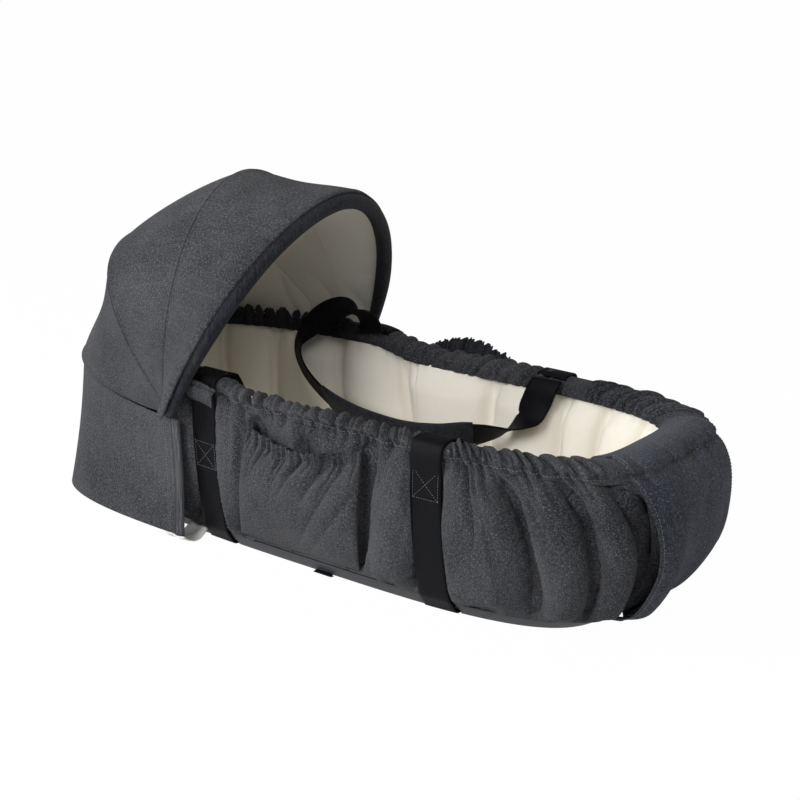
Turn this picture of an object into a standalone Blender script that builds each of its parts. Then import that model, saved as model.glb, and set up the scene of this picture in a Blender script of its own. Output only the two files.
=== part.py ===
"""Baby nest: a soft padded carry nest with a folding hood, carry straps, side pockets and a foot cover.

Metres, +Z up. X runs from the head end (-X) to the foot end (+X), and the nest rests on Z = 0.
Everything is a formula of the sizes below, so the nest can be made longer, wider or deeper.
"""
import math

import bmesh
import bpy
from mathutils import Matrix, Vector

# Frame sizes of the nest
BASE_HEAD_X = -0.350
BASE_FOOT_X = 0.3495
BASE_HALF_WIDTH = 0.1252
BASE_SQUARENESS = 3.7
RIM_HEAD_X = -0.362
RIM_FOOT_X = 0.379
RIM_HALF_WIDTH = 0.1407
RIM_SQUARENESS = 4.2
HEAD_ROUNDING = 0.78
WALL_TOP = 0.184
CLEAR = 0.0003

# Base tray, board and mattress
TRAY_FLOOR = 0.005
BAND_HEIGHT = 0.016
BAND_FLARE = 0.0103
BAND_FOOT_FLARE = 0.020
BAND_THICKNESS = 0.0025
BOARD_THICKNESS = 0.004
MATTRESS_THICKNESS = 0.034
MATTRESS_CROWN = 0.006
CROWN_INSET = 0.050

# Padded wall
FOOT_BULGE = 0.054
HEAD_BULGE = 0.007
SIDE_BULGE = 0.0125
CHANNEL_PITCH = 0.1033
FOOT_PITCH = 0.0575
CHANNEL_DEPTH = 0.0045
OUTER_THICKNESS = 0.010
LINING_SHARE = 0.45
WADDING_GAP = 0.0008
LINING_SWELL = 0.0045
LINING_LEVEL = 0.170
LINING_FADE = 0.060
INNER_HALF_WIDTH = 0.1150
INNER_TOP_HALF_WIDTH = 0.1265
INNER_HEAD_X = -0.326
INNER_FOOT_X = 0.343
INNER_TOP_FLARE = 0.021
COLUMNS = 80

# Elastic casing round the rim
CASING_HEIGHT = 0.017
CASING_SKIN = 0.0022
CASING_OVERHANG = 0.003
RUFFLES = 27
RUFFLE_DEPTH = 0.0011
ELASTIC_HEIGHT = 0.008

# Webbing
WEB_WIDTH = 0.038
WEB_THICKNESS = 0.002
HEAD_LEG_X = -0.112
FOOT_LEG_X = 0.203
SLING_END = 0.0050
HINGE_GAP = 0.0027
GRIP_WIDTH = 0.046
GRIP_SKIN = 0.0022
GRIP_BORE_GAP = 0.0014

# Pockets
POCKET_HEAD_X = -0.050
POCKET_FOOT_X = 0.122
POCKET_BOTTOM = 0.026
POCKET_TOP = 0.168
POCKET_DIP = 0.010
POCKET_BULGE = 0.019
FABRIC = 0.0018

# Foot cover
CAP_EDGE_TOP = 0.084
CAP_EDGE_BOTTOM = 0.056
CAP_LIFT = 0.0016
CAP_COLUMNS = 14
CAP_FABRIC = 0.0025
CAP_TUCK = 0.022

# Hood
PIVOT_X = -0.1573
PIVOT_Z = 0.1568
ARCH_POWER = 1.9
HOOD_SKIN = 0.0025
LINING_SKIN = 0.0012
WIRE_RADIUS = 0.0013
EYE_RADIUS = 0.0055
EYE_HOLE = 0.0023
EYE_THICKNESS = 0.0026
EYE_PITCH = 0.0030
FIRST_EYE_GAP = 0.0018
PANEL_START = 0.020
LINING_START = 0.060
WIRE_GAP = 0.0008
WIRE_DRAW = 0.028
WIRE_SIDES = 6
WIRE_STEPS = 26
FRONT_ANGLE = 64.2
FRONT_REACH = 0.2735
FRONT_HALF_WIDTH = 0.181
MID_ANGLE = 95.5
MID_REACH = 0.2529
MID_HALF_WIDTH = 0.1665
REAR_ANGLE = 137.3
REAR_REACH = 0.2876
REAR_HALF_WIDTH = 0.1650
FRONT_CROWN = -0.007
MID_CROWN = 0.010
REAR_CROWN = -0.004
BAND_ANGLE = 176.8
BAND_REACH = 0.2735
BAND_HALF_WIDTH = 0.1665
BINDING_INNER_REACH = 0.2565
BINDING_INNER_HALF_WIDTH = 0.1639
BINDING_DEPTH = 0.018
BINDING_HALF_THICKNESS = 0.0094
BINDING_STEPS = 26

# Hood skirt
SKIRT_BOTTOM = 0.0106
SKIRT_HEAD_X = -0.4142
SKIRT_CENTRE_X = -0.011
SKIRT_HALF_WIDTH = 0.1662
SKIRT_SQUARENESS = 4.07
SKIRT_FRONT_X = -0.1435

DENIM = (0.066, 0.069, 0.078, 1.0)
DENIM_DARK = (0.030, 0.032, 0.037, 1.0)
WEBBING = (0.017, 0.018, 0.021, 1.0)
CREAM = (0.78, 0.73, 0.63, 1.0)
HOOD_CREAM = (0.66, 0.62, 0.54, 1.0)
STEEL = (0.45, 0.46, 0.48, 1.0)
BOARD = (0.55, 0.42, 0.27, 1.0)
WADDING = (0.86, 0.86, 0.84, 1.0)


def clear_scene():
    for item in list(bpy.data.objects):
        bpy.data.objects.remove(item, do_unlink=True)
    for group in list(bpy.data.collections):
        bpy.data.collections.remove(group)


clear_scene()
NEST = bpy.data.collections.new("baby_nest")
CUTTERS = bpy.data.collections.new("cutters")
bpy.context.scene.collection.children.link(NEST)
bpy.context.scene.collection.children.link(CUTTERS)


def material(name, colour, roughness, metallic=0.0):
    made = bpy.data.materials.new(name)
    made.use_nodes = True
    shader = made.node_tree.nodes["Principled BSDF"]
    shader.inputs["Base Color"].default_value = colour
    shader.inputs["Roughness"].default_value = roughness
    shader.inputs["Metallic"].default_value = metallic
    made.diffuse_color = colour
    return made


def empty(name, location):
    made = bpy.data.objects.new(name, None)
    made.empty_display_size = 0.03
    made.location = location
    NEST.objects.link(made)
    return made


def place(made, name, look, parent=None, smooth=True):
    made.name = name
    made.data.name = name
    made.data.materials.clear()
    made.data.materials.append(material(name, *look))
    for face in made.data.polygons:
        face.use_smooth = smooth
    if parent is not None:
        made.parent = parent
        made.matrix_parent_inverse = Matrix.Translation(-Vector(parent.location))
    return made


def mesh_object(name, points, faces, group=NEST):
    data = bpy.data.meshes.new(name)
    data.from_pydata([tuple(p) for p in points], [], faces)
    data.update()
    made = bpy.data.objects.new(name, data)
    group.objects.link(made)
    return made


def face_outward(made, centre=None):
    """Turn a closed solid's faces outward, or an open sheet's faces away from a centre."""
    work = bmesh.new()
    work.from_mesh(made.data)
    if centre is None:
        bmesh.ops.recalc_face_normals(work, faces=work.faces)
        if work.calc_volume(signed=True) < 0:
            bmesh.ops.reverse_faces(work, faces=work.faces)
    else:
        work.normal_update()
        away = sum(f.normal.dot(f.calc_center_median() - Vector(centre(f))) * f.calc_area() for f in work.faces)
        if away < 0:
            bmesh.ops.reverse_faces(work, faces=work.faces)
    work.to_mesh(made.data)
    work.free()
    made.data.update()


def ring_solid(name, sections):
    """A closed band: each section is a closed loop of points, and the last section joins the first."""
    count = len(sections)
    size = len(sections[0])
    points = [p for section in sections for p in section]
    faces = []
    for i in range(count):
        k = (i + 1) % count
        for j in range(size):
            m = (j + 1) % size
            faces.append((i * size + j, k * size + j, k * size + m, i * size + m))
    made = mesh_object(name, points, faces)
    face_outward(made)
    return made


def bar_solid(name, sections, group=NEST):
    """A bar with capped ends: each section is a closed loop of points."""
    size = len(sections[0])
    points = [p for section in sections for p in section]
    faces = []
    for i in range(len(sections) - 1):
        for j in range(size):
            m = (j + 1) % size
            faces.append((i * size + j, (i + 1) * size + j, (i + 1) * size + m, i * size + m))
    last = (len(sections) - 1) * size
    faces.append(tuple(range(size)))
    faces.append(tuple(last + j for j in reversed(range(size))))
    made = mesh_object(name, points, faces, group)
    face_outward(made)
    return made


def sheet(name, rows, thickness, centre, side=-1.0):
    """An open sheet through a grid of points, made solid away from its outer face (side -1) or onto it (side 1)."""
    size = len(rows[0])
    points = [p for row in rows for p in row]
    faces = []
    for i in range(len(rows) - 1):
        for j in range(size - 1):
            a = i * size + j
            faces.append((a, a + 1, a + size + 1, a + size))
    made = mesh_object(name, points, faces)
    face_outward(made, centre)
    solid = made.modifiers.new("thickness", "SOLIDIFY")
    solid.thickness = thickness
    solid.offset = side
    solid.use_even_offset = False
    return made


# Outlines seen from above
def signed_power(value, power):
    return math.copysign(abs(value) ** power, value)


def outline_point(shape, t):
    """A point on a rounded oblong: head x, foot x, half width and squareness, t from 0 at the foot end."""
    head, foot, half, square = shape
    centre = (head + foot) / 2
    reach = (foot - head) / 2
    if math.cos(t) < 0:
        square *= HEAD_ROUNDING
    x = centre + reach * signed_power(math.cos(t), 2 / square)
    y = half * signed_power(math.sin(t), 2 / square)
    return x, y


def side_y(shape, x):
    """Half width of a rounded oblong at one x."""
    head, foot, half, square = shape
    centre = (head + foot) / 2
    reach = (foot - head) / 2
    if x < centre:
        square *= HEAD_ROUNDING
    part = min(1.0, abs((x - centre) / reach))
    return half * max(0.0, 1 - part ** square) ** (1 / square)


def outline_normal(shape, t):
    step = 1e-3
    ax, ay = outline_point(shape, t - step)
    bx, by = outline_point(shape, t + step)
    length = math.hypot(bx - ax, by - ay)
    return (by - ay) / length, -(bx - ax) / length


def mix(a, b, part):
    return a + (b - a) * part


def smooth_step(low, high, value):
    part = min(1.0, max(0.0, (value - low) / (high - low)))
    return part * part * (3 - 2 * part)


def band_shape(z):
    """Outside of the base tray's band."""
    part = z / BAND_HEIGHT
    return (
        BASE_HEAD_X - BAND_FLARE * part,
        BASE_FOOT_X + BAND_FOOT_FLARE * part,
        BASE_HALF_WIDTH + BAND_FLARE * part,
        BASE_SQUARENESS,
    )


def belly(z):
    """Share of the wall's bulge at one height: none at the base, full at two thirds, little at the rim."""
    part = (z - BAND_HEIGHT) / (WALL_TOP - BAND_HEIGHT)
    part = min(1.0, max(0.0, part))
    rise = min(1.0, part / 0.68)
    fall = max(0.0, (part - 0.68) / 0.32)
    return math.sin(rise * math.pi / 2) ** 0.75 * math.sqrt(max(0.0, 1 - 0.80 * fall ** 2.2))


def wall_shape(z):
    """Outside of the padded wall, over its channels."""
    part = min(1.0, max(0.0, (z - BAND_HEIGHT) / (WALL_TOP - BAND_HEIGHT)))
    out = belly(z)
    low = band_shape(BAND_HEIGHT)
    return (
        mix(low[0], RIM_HEAD_X, part) - HEAD_BULGE * out,
        mix(low[1], RIM_FOOT_X, part) + FOOT_BULGE * out + 0.006,
        mix(low[2], RIM_HALF_WIDTH, part) + SIDE_BULGE * out + 0.0006,
        mix(BASE_SQUARENESS, RIM_SQUARENESS, part) - 0.5 * out,
    )


def inner_shape(z):
    """Inside of the wall's lining, over its channels."""
    part = min(1.0, max(0.0, z / WALL_TOP))
    return (
        INNER_HEAD_X - INNER_TOP_FLARE * 0.5 * part ** 2,
        INNER_FOOT_X + INNER_TOP_FLARE * part ** 2,
        mix(INNER_HALF_WIDTH, INNER_TOP_HALF_WIDTH, part ** 2),
        mix(BASE_SQUARENESS, RIM_SQUARENESS, part),
    )


def grow(shape, amount):
    head, foot, half, square = shape
    return head - amount, foot + amount, half + amount, square


# Stations round the nest, evenly spaced along the wall
def even_stations(shape, count, offset=0.0):
    """Values of t evenly spaced along an outline, and their distance from the foot end along it."""
    fine = 4000
    sums = [0.0]
    last = outline_point(shape, 0.0)
    for i in range(1, fine + 1):
        here = outline_point(shape, 2 * math.pi * i / fine)
        sums.append(sums[-1] + math.hypot(here[0] - last[0], here[1] - last[1]))
        last = here
    total = sums[-1]
    out = []
    k = 0
    for i in range(count):
        wanted = total * (i + offset) / count
        while sums[k + 1] < wanted:
            k += 1
        part = (wanted - sums[k]) / (sums[k + 1] - sums[k])
        t = 2 * math.pi * (k + part) / fine
        out.append((t, min(wanted, total - wanted)))
    return out, total


MIDDLE = wall_shape(0.1)
STATIONS, PERIMETER = even_stations(MIDDLE, COLUMNS, 0.5)


def distance_at_x(shape, x):
    """Distance from the foot end along an outline to where its side passes x."""
    run = 0.0
    last = outline_point(shape, 0.0)
    for i in range(1, 4001):
        here = outline_point(shape, math.pi * i / 4000)
        run += math.hypot(here[0] - last[0], here[1] - last[1])
        if here[0] <= x:
            return run
        last = here
    return run


SEAM_START = distance_at_x(MIDDLE, FOOT_LEG_X)


def valley(distance, pitch):
    """0 on the crown of a sewn channel and 1 in the seam beside it."""
    return 1 - abs(math.sin(math.pi * distance / pitch)) ** 0.7


def outer_channel(distance):
    """Depth of the channels of the denim wall: narrower round the foot, and flat under the foot's cover."""
    corner = SEAM_START - CHANNEL_PITCH
    depth = valley(distance - corner, CHANNEL_PITCH if distance > corner else FOOT_PITCH)
    return depth * smooth_step(CAP_EDGE_BOTTOM - 0.02, CAP_EDGE_BOTTOM + 0.02, distance)


def lining_channel(distance):
    """Depth of the quilted channels of the lining, which level out towards the foot end."""
    depth = valley(distance - SEAM_START, CHANNEL_PITCH)
    return mix(depth, 0.5, 1 - smooth_step(LINING_LEVEL, LINING_LEVEL + LINING_FADE, distance))


def ring_point(shape, t, z, inward=0.0):
    x, y = outline_point(shape, t)
    nx, ny = outline_normal(shape, t)
    return Vector((x - nx * inward, y - ny * inward, z))


# Base: tray, board and mattress
def build_base():
    tray = build_tray()
    board_z = TRAY_FLOOR + CLEAR
    inside = grow(band_shape(TRAY_FLOOR), -BAND_THICKNESS - 2 * CLEAR)
    stations = STATIONS
    rings = []
    for z in (board_z, board_z + BOARD_THICKNESS):
        rings.append([Vector((*outline_point(inside, t), z)) for t, _ in stations])
    board = bar_solid("base_board", rings)
    place(board, "base_board", (BOARD, 0.7), smooth=False)
    low = board_z + BOARD_THICKNESS + CLEAR
    stations = STATIONS[::2]
    rings = []
    levels = (
        (0.0, 0.010),
        (0.12, 0.003),
        (0.35, 0.0),
        (0.70, 0.0),
        (0.90, 0.004),
        (1.0, 0.013),
    )
    for part, inset in levels:
        z = low + MATTRESS_THICKNESS * part
        shape = grow(inner_shape(z), -0.0052 - inset)
        rings.append([Vector((*outline_point(shape, t), z)) for t, _ in stations])
    crown = grow(inner_shape(low), -0.0052 - CROWN_INSET)
    z = low + MATTRESS_THICKNESS + MATTRESS_CROWN
    rings.append([Vector((*outline_point(crown, t), z)) for t, _ in stations])
    mattress = bar_solid("mattress", rings)
    place(mattress, "mattress", (CREAM, 0.9))
    return tray


def build_tray():
    """The tray of base fabric: a floor and a flared band, with a groove under it for each webbing sling."""
    stations = STATIONS
    inner_low = grow(band_shape(TRAY_FLOOR), -BAND_THICKNESS)
    inner_top = grow(band_shape(BAND_HEIGHT), -BAND_THICKNESS)
    levels = [
        (band_shape(0), 0.0),
        (band_shape(BAND_HEIGHT / 2), BAND_HEIGHT / 2),
        (band_shape(BAND_HEIGHT), BAND_HEIGHT),
        (inner_top, BAND_HEIGHT),
        (inner_low, TRAY_FLOOR),
    ]
    rings = [[Vector((*outline_point(shape, t), z)) for t, _ in stations] for shape, z in levels]
    tray = bar_solid("base_cover", rings)
    place(tray, "base_cover", (DENIM_DARK, 0.75), smooth=False)
    for x in (HEAD_LEG_X, FOOT_LEG_X):
        width = WEB_WIDTH / 2 + CLEAR * 2
        depth = WEB_THICKNESS + CLEAR * 2.7
        corners = [
            [Vector((x + sx * width, y, z)) for sx, z in ((-1, -0.01), (1, -0.01), (1, depth), (-1, depth))]
            for y in (-0.2, 0.2)
        ]
        cutter = bar_solid("groove", corners, CUTTERS)
        cutter.hide_render = True
        cutter.display_type = "WIRE"
        cut = tray.modifiers.new("groove", "BOOLEAN")
        cut.operation = "DIFFERENCE"
        cut.solver = "EXACT"
        cut.object = cutter
    return tray


# Padded wall: denim outside, wadding and cotton lining
WALL_FOOT = TRAY_FLOOR + CLEAR + BOARD_THICKNESS + CLEAR
RECESS = BAND_THICKNESS + CLEAR
STEP_Z = BAND_HEIGHT + CLEAR * 2


def outer_inside(z):
    """Smooth back face of the denim wall."""
    if z < STEP_Z:
        return grow(band_shape(z), -RECESS - OUTER_THICKNESS * 0.6)
    return grow(wall_shape(z), -OUTER_THICKNESS)


def lining_back(z):
    """Smooth back face of the lining, a fixed share of the way out to the denim wall."""
    inside = inner_shape(z)
    outside = outer_inside(z)
    return tuple(mix(a, b, LINING_SHARE) for a, b in zip(inside, outside))


def build_wall():
    sections = []
    for t, distance in STATIONS:
        depth = CHANNEL_DEPTH * outer_channel(distance)
        section = [
            ring_point(grow(band_shape(WALL_FOOT), -RECESS), t, WALL_FOOT),
            ring_point(grow(band_shape(BAND_HEIGHT), -RECESS), t, BAND_HEIGHT),
            ring_point(wall_shape(STEP_Z + 0.004), t, STEP_Z + 0.0006, depth * 0.4 + 0.001),
        ]
        for z in (0.034, 0.060, 0.095, 0.130, 0.160):
            section.append(ring_point(wall_shape(z), t, z, depth))
        section.append(ring_point(wall_shape(WALL_TOP), t, WALL_TOP, depth * 0.3 + 0.001))
        for z in (WALL_TOP, 0.130, 0.060, WALL_FOOT):
            section.append(ring_point(outer_inside(z), t, z))
        sections.append(section)
    place(ring_solid("outer_wall", sections), "outer_wall", (DENIM, 0.85))

    sections = []
    for t, distance in STATIONS:
        section = []
        for z in (WALL_FOOT, 0.060, 0.130, WALL_TOP):
            section.append(ring_point(outer_inside(z), t, z, WADDING_GAP))
        for z in (WALL_TOP, WALL_FOOT):
            section.append(ring_point(lining_back(z), t, z, -WADDING_GAP))
        sections.append(section)
    place(ring_solid("wall_wadding", sections), "wall_wadding", (WADDING, 0.95))

    sections = []
    for t, distance in STATIONS:
        depth = CHANNEL_DEPTH * lining_channel(distance)
        section = []
        for z in (WALL_FOOT, WALL_TOP):
            section.append(ring_point(lining_back(z), t, z))
        for z, share in ((WALL_TOP, 0.6), (0.165, 0.8), (0.135, 1.0), (0.100, 1.0), (0.068, 1.0), (0.040, 0.7)):
            section.append(ring_point(grow(inner_shape(z), -LINING_SWELL + depth * share), t, z))
        section.append(ring_point(inner_shape(WALL_FOOT), t, WALL_FOOT))
        sections.append(section)
    place(ring_solid("wall_lining", sections), "wall_lining", (CREAM, 0.9))


def ruffle(index):
    return math.sin(2 * math.pi * RUFFLES * index / COLUMNS)


def casing_side(t, distance, index):
    """Outer and inner faces of the rim casing at one station, with the gathers fading under the foot cover."""
    wave = RUFFLE_DEPTH * ruffle(index) * smooth_step(CAP_EDGE_TOP, CAP_EDGE_TOP + 0.04, distance)
    return CASING_OVERHANG + wave


def build_rim():
    stations = STATIONS
    low = WALL_TOP - CASING_HEIGHT * 0.45
    top = WALL_TOP + CASING_HEIGHT * 0.55
    outer = wall_shape(WALL_TOP)
    inner = inner_shape(WALL_TOP)
    sections = []
    for index, (t, distance) in enumerate(stations):
        out = casing_side(t, distance, index)
        lift = 0.35 * (out - CASING_OVERHANG)
        low_out = grow(wall_shape(low), CLEAR + CASING_SKIN)
        section = [
            ring_point(low_out, t, low, -max(0.0, out - CASING_OVERHANG)),
            ring_point(grow(outer, out), t, WALL_TOP + 0.003 + lift),
            ring_point(grow(outer, out - 0.006), t, top + lift),
            ring_point(grow(inner, -out + 0.004), t, top + lift),
            ring_point(grow(inner, -out - 0.0046), t, WALL_TOP),
            ring_point(grow(inner_shape(low), -LINING_SWELL - CLEAR - CASING_SKIN), t, low),
            ring_point(grow(inner_shape(low), -LINING_SWELL - CLEAR), t, low),
            ring_point(grow(inner, -LINING_SWELL - CLEAR), t, WALL_TOP + CLEAR),
            ring_point(grow(inner, 0.004), t, top - CASING_SKIN - 0.0008),
            ring_point(grow(outer, -0.006), t, top - CASING_SKIN - 0.0008),
            ring_point(grow(outer, CLEAR), t, WALL_TOP + CLEAR),
            ring_point(grow(wall_shape(low), CLEAR), t, low),
        ]
        sections.append(section)
    place(ring_solid("rim_casing", sections), "rim_casing", (DENIM_DARK, 0.85))
    sections = []
    for t, _ in stations:
        x_out, y_out = outline_point(grow(outer, -0.006), t)
        x_in, y_in = outline_point(grow(inner, 0.004), t)
        middle = Vector(((x_out + x_in) / 2, (y_out + y_in) / 2, 0))
        across = Vector((x_out - x_in, y_out - y_in, 0)).normalized() * 0.0015
        z = WALL_TOP + CLEAR
        high = z + min(ELASTIC_HEIGHT, CASING_HEIGHT * 0.55 - CASING_SKIN - 0.0016)
        sections.append([
            middle + across + Vector((0, 0, z)),
            middle + across + Vector((0, 0, high)),
            middle - across + Vector((0, 0, high)),
            middle - across + Vector((0, 0, z)),
        ])
    place(ring_solid("rim_elastic", sections), "rim_elastic", (CREAM, 0.8), smooth=False)


# Points on the outside of the nest's sides, for what is sewn or laid on them
def on_side(x, z, side, lift):
    """A point lift away from the wall's crowns, or from the base band low down; side is -1 near and 1 far."""
    step = 0.0008

    def width(at_x, at_z):
        if at_z < BAND_HEIGHT:
            return side_y(band_shape(max(0.0, at_z)), at_x)
        return max(side_y(wall_shape(at_z), at_x), side_y(band_shape(BAND_HEIGHT), at_x))

    y = width(x, z)
    slope_x = (width(x + step, z) - width(x - step, z)) / (2 * step)
    slope_z = (width(x, z + step) - width(x, max(0.0, z - step))) / (z + step - max(0.0, z - step))
    slope_z = max(-1.2, min(1.2, slope_z))
    normal = Vector((-slope_x, 1.0, -slope_z)).normalized()
    return Vector((x + normal.x * lift, side * (y + normal.y * lift), z + normal.z * lift))


SLING_INNER_Y = side_y(inner_shape(WALL_TOP), FOOT_LEG_X) - SLING_END


def over_rim(x, side):
    """Rows of webbing from outside the rim casing, over its top and down to its inner edge."""
    outer = wall_shape(WALL_TOP)
    inner = inner_shape(WALL_TOP)
    top = WALL_TOP + CASING_HEIGHT * 0.55 + RUFFLE_DEPTH * 0.35
    low = WALL_TOP - CASING_HEIGHT * 0.45
    out = CASING_OVERHANG + RUFFLE_DEPTH + CLEAR * 2
    rows = []
    for dx in (-WEB_WIDTH / 2, 0.0, WEB_WIDTH / 2):
        y_low = side_y(wall_shape(low), x + dx)
        y_out = side_y(outer, x + dx)
        y_in = side_y(inner, x + dx)
        rows.append([
            Vector((x + dx, side * (y_low + CASING_SKIN + RUFFLE_DEPTH + CLEAR * 3), low)),
            Vector((x + dx, side * (y_out + out), WALL_TOP + 0.0035)),
            Vector((x + dx, side * (y_out - 0.0010), top + CLEAR * 3)),
            Vector((x + dx, side * (y_in + 0.0020), top + CLEAR * 4)),
            Vector((x + dx, side * SLING_INNER_Y, top - 0.0024)),
        ])
    return [list(row) for row in zip(*rows)]


def sling(name, x):
    """Webbing over one rim, down that side, under the base, up the other side and over the other rim."""
    half = WEB_WIDTH / 2
    lift = CLEAR * 2
    rows = []
    heights = (0.160, 0.130, 0.095, 0.060, 0.034, STEP_Z + 0.004)
    for side in (-1, 1):
        walk = [[on_side(x + dx, z, side, lift) for dx in (-half, 0.0, half)] for z in heights]
        step = []
        for dx in (-half, 0.0, half):
            step.append(Vector((x + dx, side * (side_y(wall_shape(STEP_Z + 0.004), x + dx) + lift), STEP_Z - CLEAR)))
        turn = [step]
        for z in (BAND_HEIGHT - 0.004, 0.0065, 0.0027):
            turn.append([on_side(x + dx, z, side, lift) for dx in (-half, 0.0, half)])
        low = WEB_THICKNESS
        under = []
        for y in (0.1242, 0.06):
            row = []
            for dx in (-half, 0.0, half):
                reach = side_y(band_shape(0), x + dx) / BASE_HALF_WIDTH
                row.append(Vector((x + dx, side * y * reach, low)))
            under.append(row)
        leg = list(reversed(over_rim(x, side))) + walk + turn + under
        if side < 0:
            rows += leg + [[Vector((x + dx, 0.0, low)) for dx in (-half, 0.0, half)]]
        else:
            rows += list(reversed(leg))
    made = sheet(name, rows, WEB_THICKNESS, lambda f: sling_core(f.calc_center_median()), 1.0)
    place(made, name, (WEBBING, 0.6))


def sling_core(centre):
    """A point inside the nest's wall or base, behind the webbing at one place."""
    if centre.z > WALL_TOP - 0.010:
        return centre.x, math.copysign(RIM_HALF_WIDTH - 0.004, centre.y), WALL_TOP - 0.010
    return centre.x, 0, 0.09


# Handles
def spline(points, steps):
    """A smooth curve through points, with the same number of steps in each span."""
    out = []
    last = len(points) - 1
    for i in range(last):
        p0 = points[max(0, i - 1)]
        p1 = points[i]
        p2 = points[i + 1]
        p3 = points[min(last, i + 2)]
        for k in range(steps):
            u = k / steps
            a = p1 * 2
            b = (p2 - p0) * u
            c = (p0 * 2 - p1 * 5 + p2 * 4 - p3) * u * u
            d = (p1 * 3 - p0 - p2 * 3 + p3) * u * u * u
            out.append((a + b + c + d) * 0.5)
    out.append(points[-1].copy())
    return out


def ribbon(path, wide, width, thickness):
    """Sections of a flat strap: path points and the direction of its width at each."""
    sections = []
    for i, point in enumerate(path):
        along = path[min(i + 1, len(path) - 1)] - path[max(i - 1, 0)]
        along.normalize()
        across = wide[i] - along * wide[i].dot(along)
        across.normalize()
        up = along.cross(across).normalized()
        a = across * width / 2
        b = up * thickness / 2
        sections.append([point - a - b, point + a - b, point + a + b, point - a + b])
    return sections


HINGE_Y = SLING_INNER_Y - HINGE_GAP
HINGE_Z = WALL_TOP + CASING_HEIGHT * 0.55 + RUFFLE_DEPTH * 0.35 - 0.0024 + WEB_THICKNESS

# Each loop is listed from its foot end to its head end: how far along, how far in from the hinge line and how high
# above it the middle of the webbing runs, and the direction of its width
FAR_LOOP = (
    (FOOT_LEG_X, 0.0006, -0.0011, (1, 0, 0)),
    (FOOT_LEG_X, 0.0042, -0.0035, (1, 0, 0)),
    (FOOT_LEG_X - 0.001, 0.0092, -0.0125, (1, 0, 0)),
    (FOOT_LEG_X - 0.012, 0.0161, -0.0290, (1, 0.1, 0)),
    (FOOT_LEG_X - 0.018, 0.0381, -0.0475, (1, 0.5, 0.3)),
    (FOOT_LEG_X - 0.032, 0.0691, -0.0535, (0.7, 0.4, 0.6)),
    (FOOT_LEG_X - 0.062, 0.0861, -0.0545, (0.2, 0.3, 0.9)),
    (FOOT_LEG_X - 0.110, 0.0921, -0.0595, (0, 0.35, 1)),
    (FOOT_LEG_X - 0.175, 0.0871, -0.0655, (0, 0.35, 1)),
    (FOOT_LEG_X - 0.245, 0.0761, -0.0685, (0, 0.35, 1)),
    (FOOT_LEG_X - 0.295, 0.0591, -0.0575, (0.1, 0.5, 0.9)),
    (FOOT_LEG_X - 0.336, 0.0420, -0.0355, (0.5, 0.7, 0.6)),
    (FOOT_LEG_X - 0.350, 0.0300, -0.0085, (0.8, 0.6, 0.1)),
    (FOOT_LEG_X - 0.340, 0.0210, 0.0140, (0.95, 0.3, -0.3)),
    (HEAD_LEG_X - 0.006, 0.0140, 0.0220, (1, 0.1, -0.2)),
    (HEAD_LEG_X, 0.0050, 0.0125, (1, 0, 0)),
    (HEAD_LEG_X, -0.0002, 0.0006, (1, 0, 0)),
)
NEAR_LOOP = (
    (FOOT_LEG_X, 0.0006, -0.0011, (1, 0, 0)),
    (FOOT_LEG_X, 0.0042, -0.0035, (1, 0, 0)),
    (FOOT_LEG_X - 0.003, 0.0100, -0.0140, (1, 0, 0)),
    (FOOT_LEG_X - 0.012, 0.0165, -0.0375, (1, 0, 0.1)),
    (FOOT_LEG_X - 0.028, 0.0250, -0.0595, (0.8, 0.1, 0.6)),
    (FOOT_LEG_X - 0.062, 0.0330, -0.0705, (0.3, 0.2, 0.9)),
    (FOOT_LEG_X - 0.110, 0.0370, -0.0745, (0, 0.2, 1)),
    (FOOT_LEG_X - 0.165, 0.0370, -0.0755, (0, 0.2, 1)),
    (FOOT_LEG_X - 0.225, 0.0350, -0.0745, (0, 0.2, 1)),
    (HEAD_LEG_X + 0.046, 0.0320, -0.0700, (-0.3, 0.2, 0.9)),
    (HEAD_LEG_X + 0.020, 0.0260, -0.0560, (-0.8, 0.1, 0.6)),
    (HEAD_LEG_X + 0.006, 0.0180, -0.0350, (1, 0, -0.1)),
    (HEAD_LEG_X + 0.001, 0.0105, -0.0140, (1, 0, 0)),
    (HEAD_LEG_X, 0.0042, -0.0035, (1, 0, 0)),
    (HEAD_LEG_X, 0.0004, -0.0011, (1, 0, 0)),
)
FAR_GRIP = (6, 10)
NEAR_GRIP = (5, 8)
LOOP_STEPS = 4


def build_handle(label, side, loop, grip):
    hinge = empty(label + "_hinge", (0.0, side * HINGE_Y, HINGE_Z))
    points = [Vector((x, side * (HINGE_Y - inward), HINGE_Z + up)) for x, inward, up, _ in loop]
    wide = []
    for _, _, _, w in loop:
        turned = Vector((w[0], -side * w[1], w[2])).normalized()
        if wide and turned.dot(wide[-1]) < 0:
            turned = -turned
        wide.append(turned)
    path = spline(points, LOOP_STEPS)
    widths = spline(wide, LOOP_STEPS)
    webbing = bar_solid(label + "_webbing", ribbon(path, widths, WEB_WIDTH, WEB_THICKNESS))
    place(webbing, label + "_webbing", (WEBBING, 0.6), hinge)
    first = grip[0] * LOOP_STEPS
    last = grip[1] * LOOP_STEPS + 1
    bore = 2 * GRIP_BORE_GAP
    outer = ribbon(path[first:last], widths[first:last], GRIP_WIDTH, WEB_THICKNESS + bore + 2 * GRIP_SKIN)
    inner = ribbon(path[first:last], widths[first:last], WEB_WIDTH + bore, WEB_THICKNESS + bore)
    sleeve = tube_solid(label + "_grip", outer, inner)
    place(sleeve, label + "_grip", (DENIM, 0.85), hinge)
    return hinge


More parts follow.
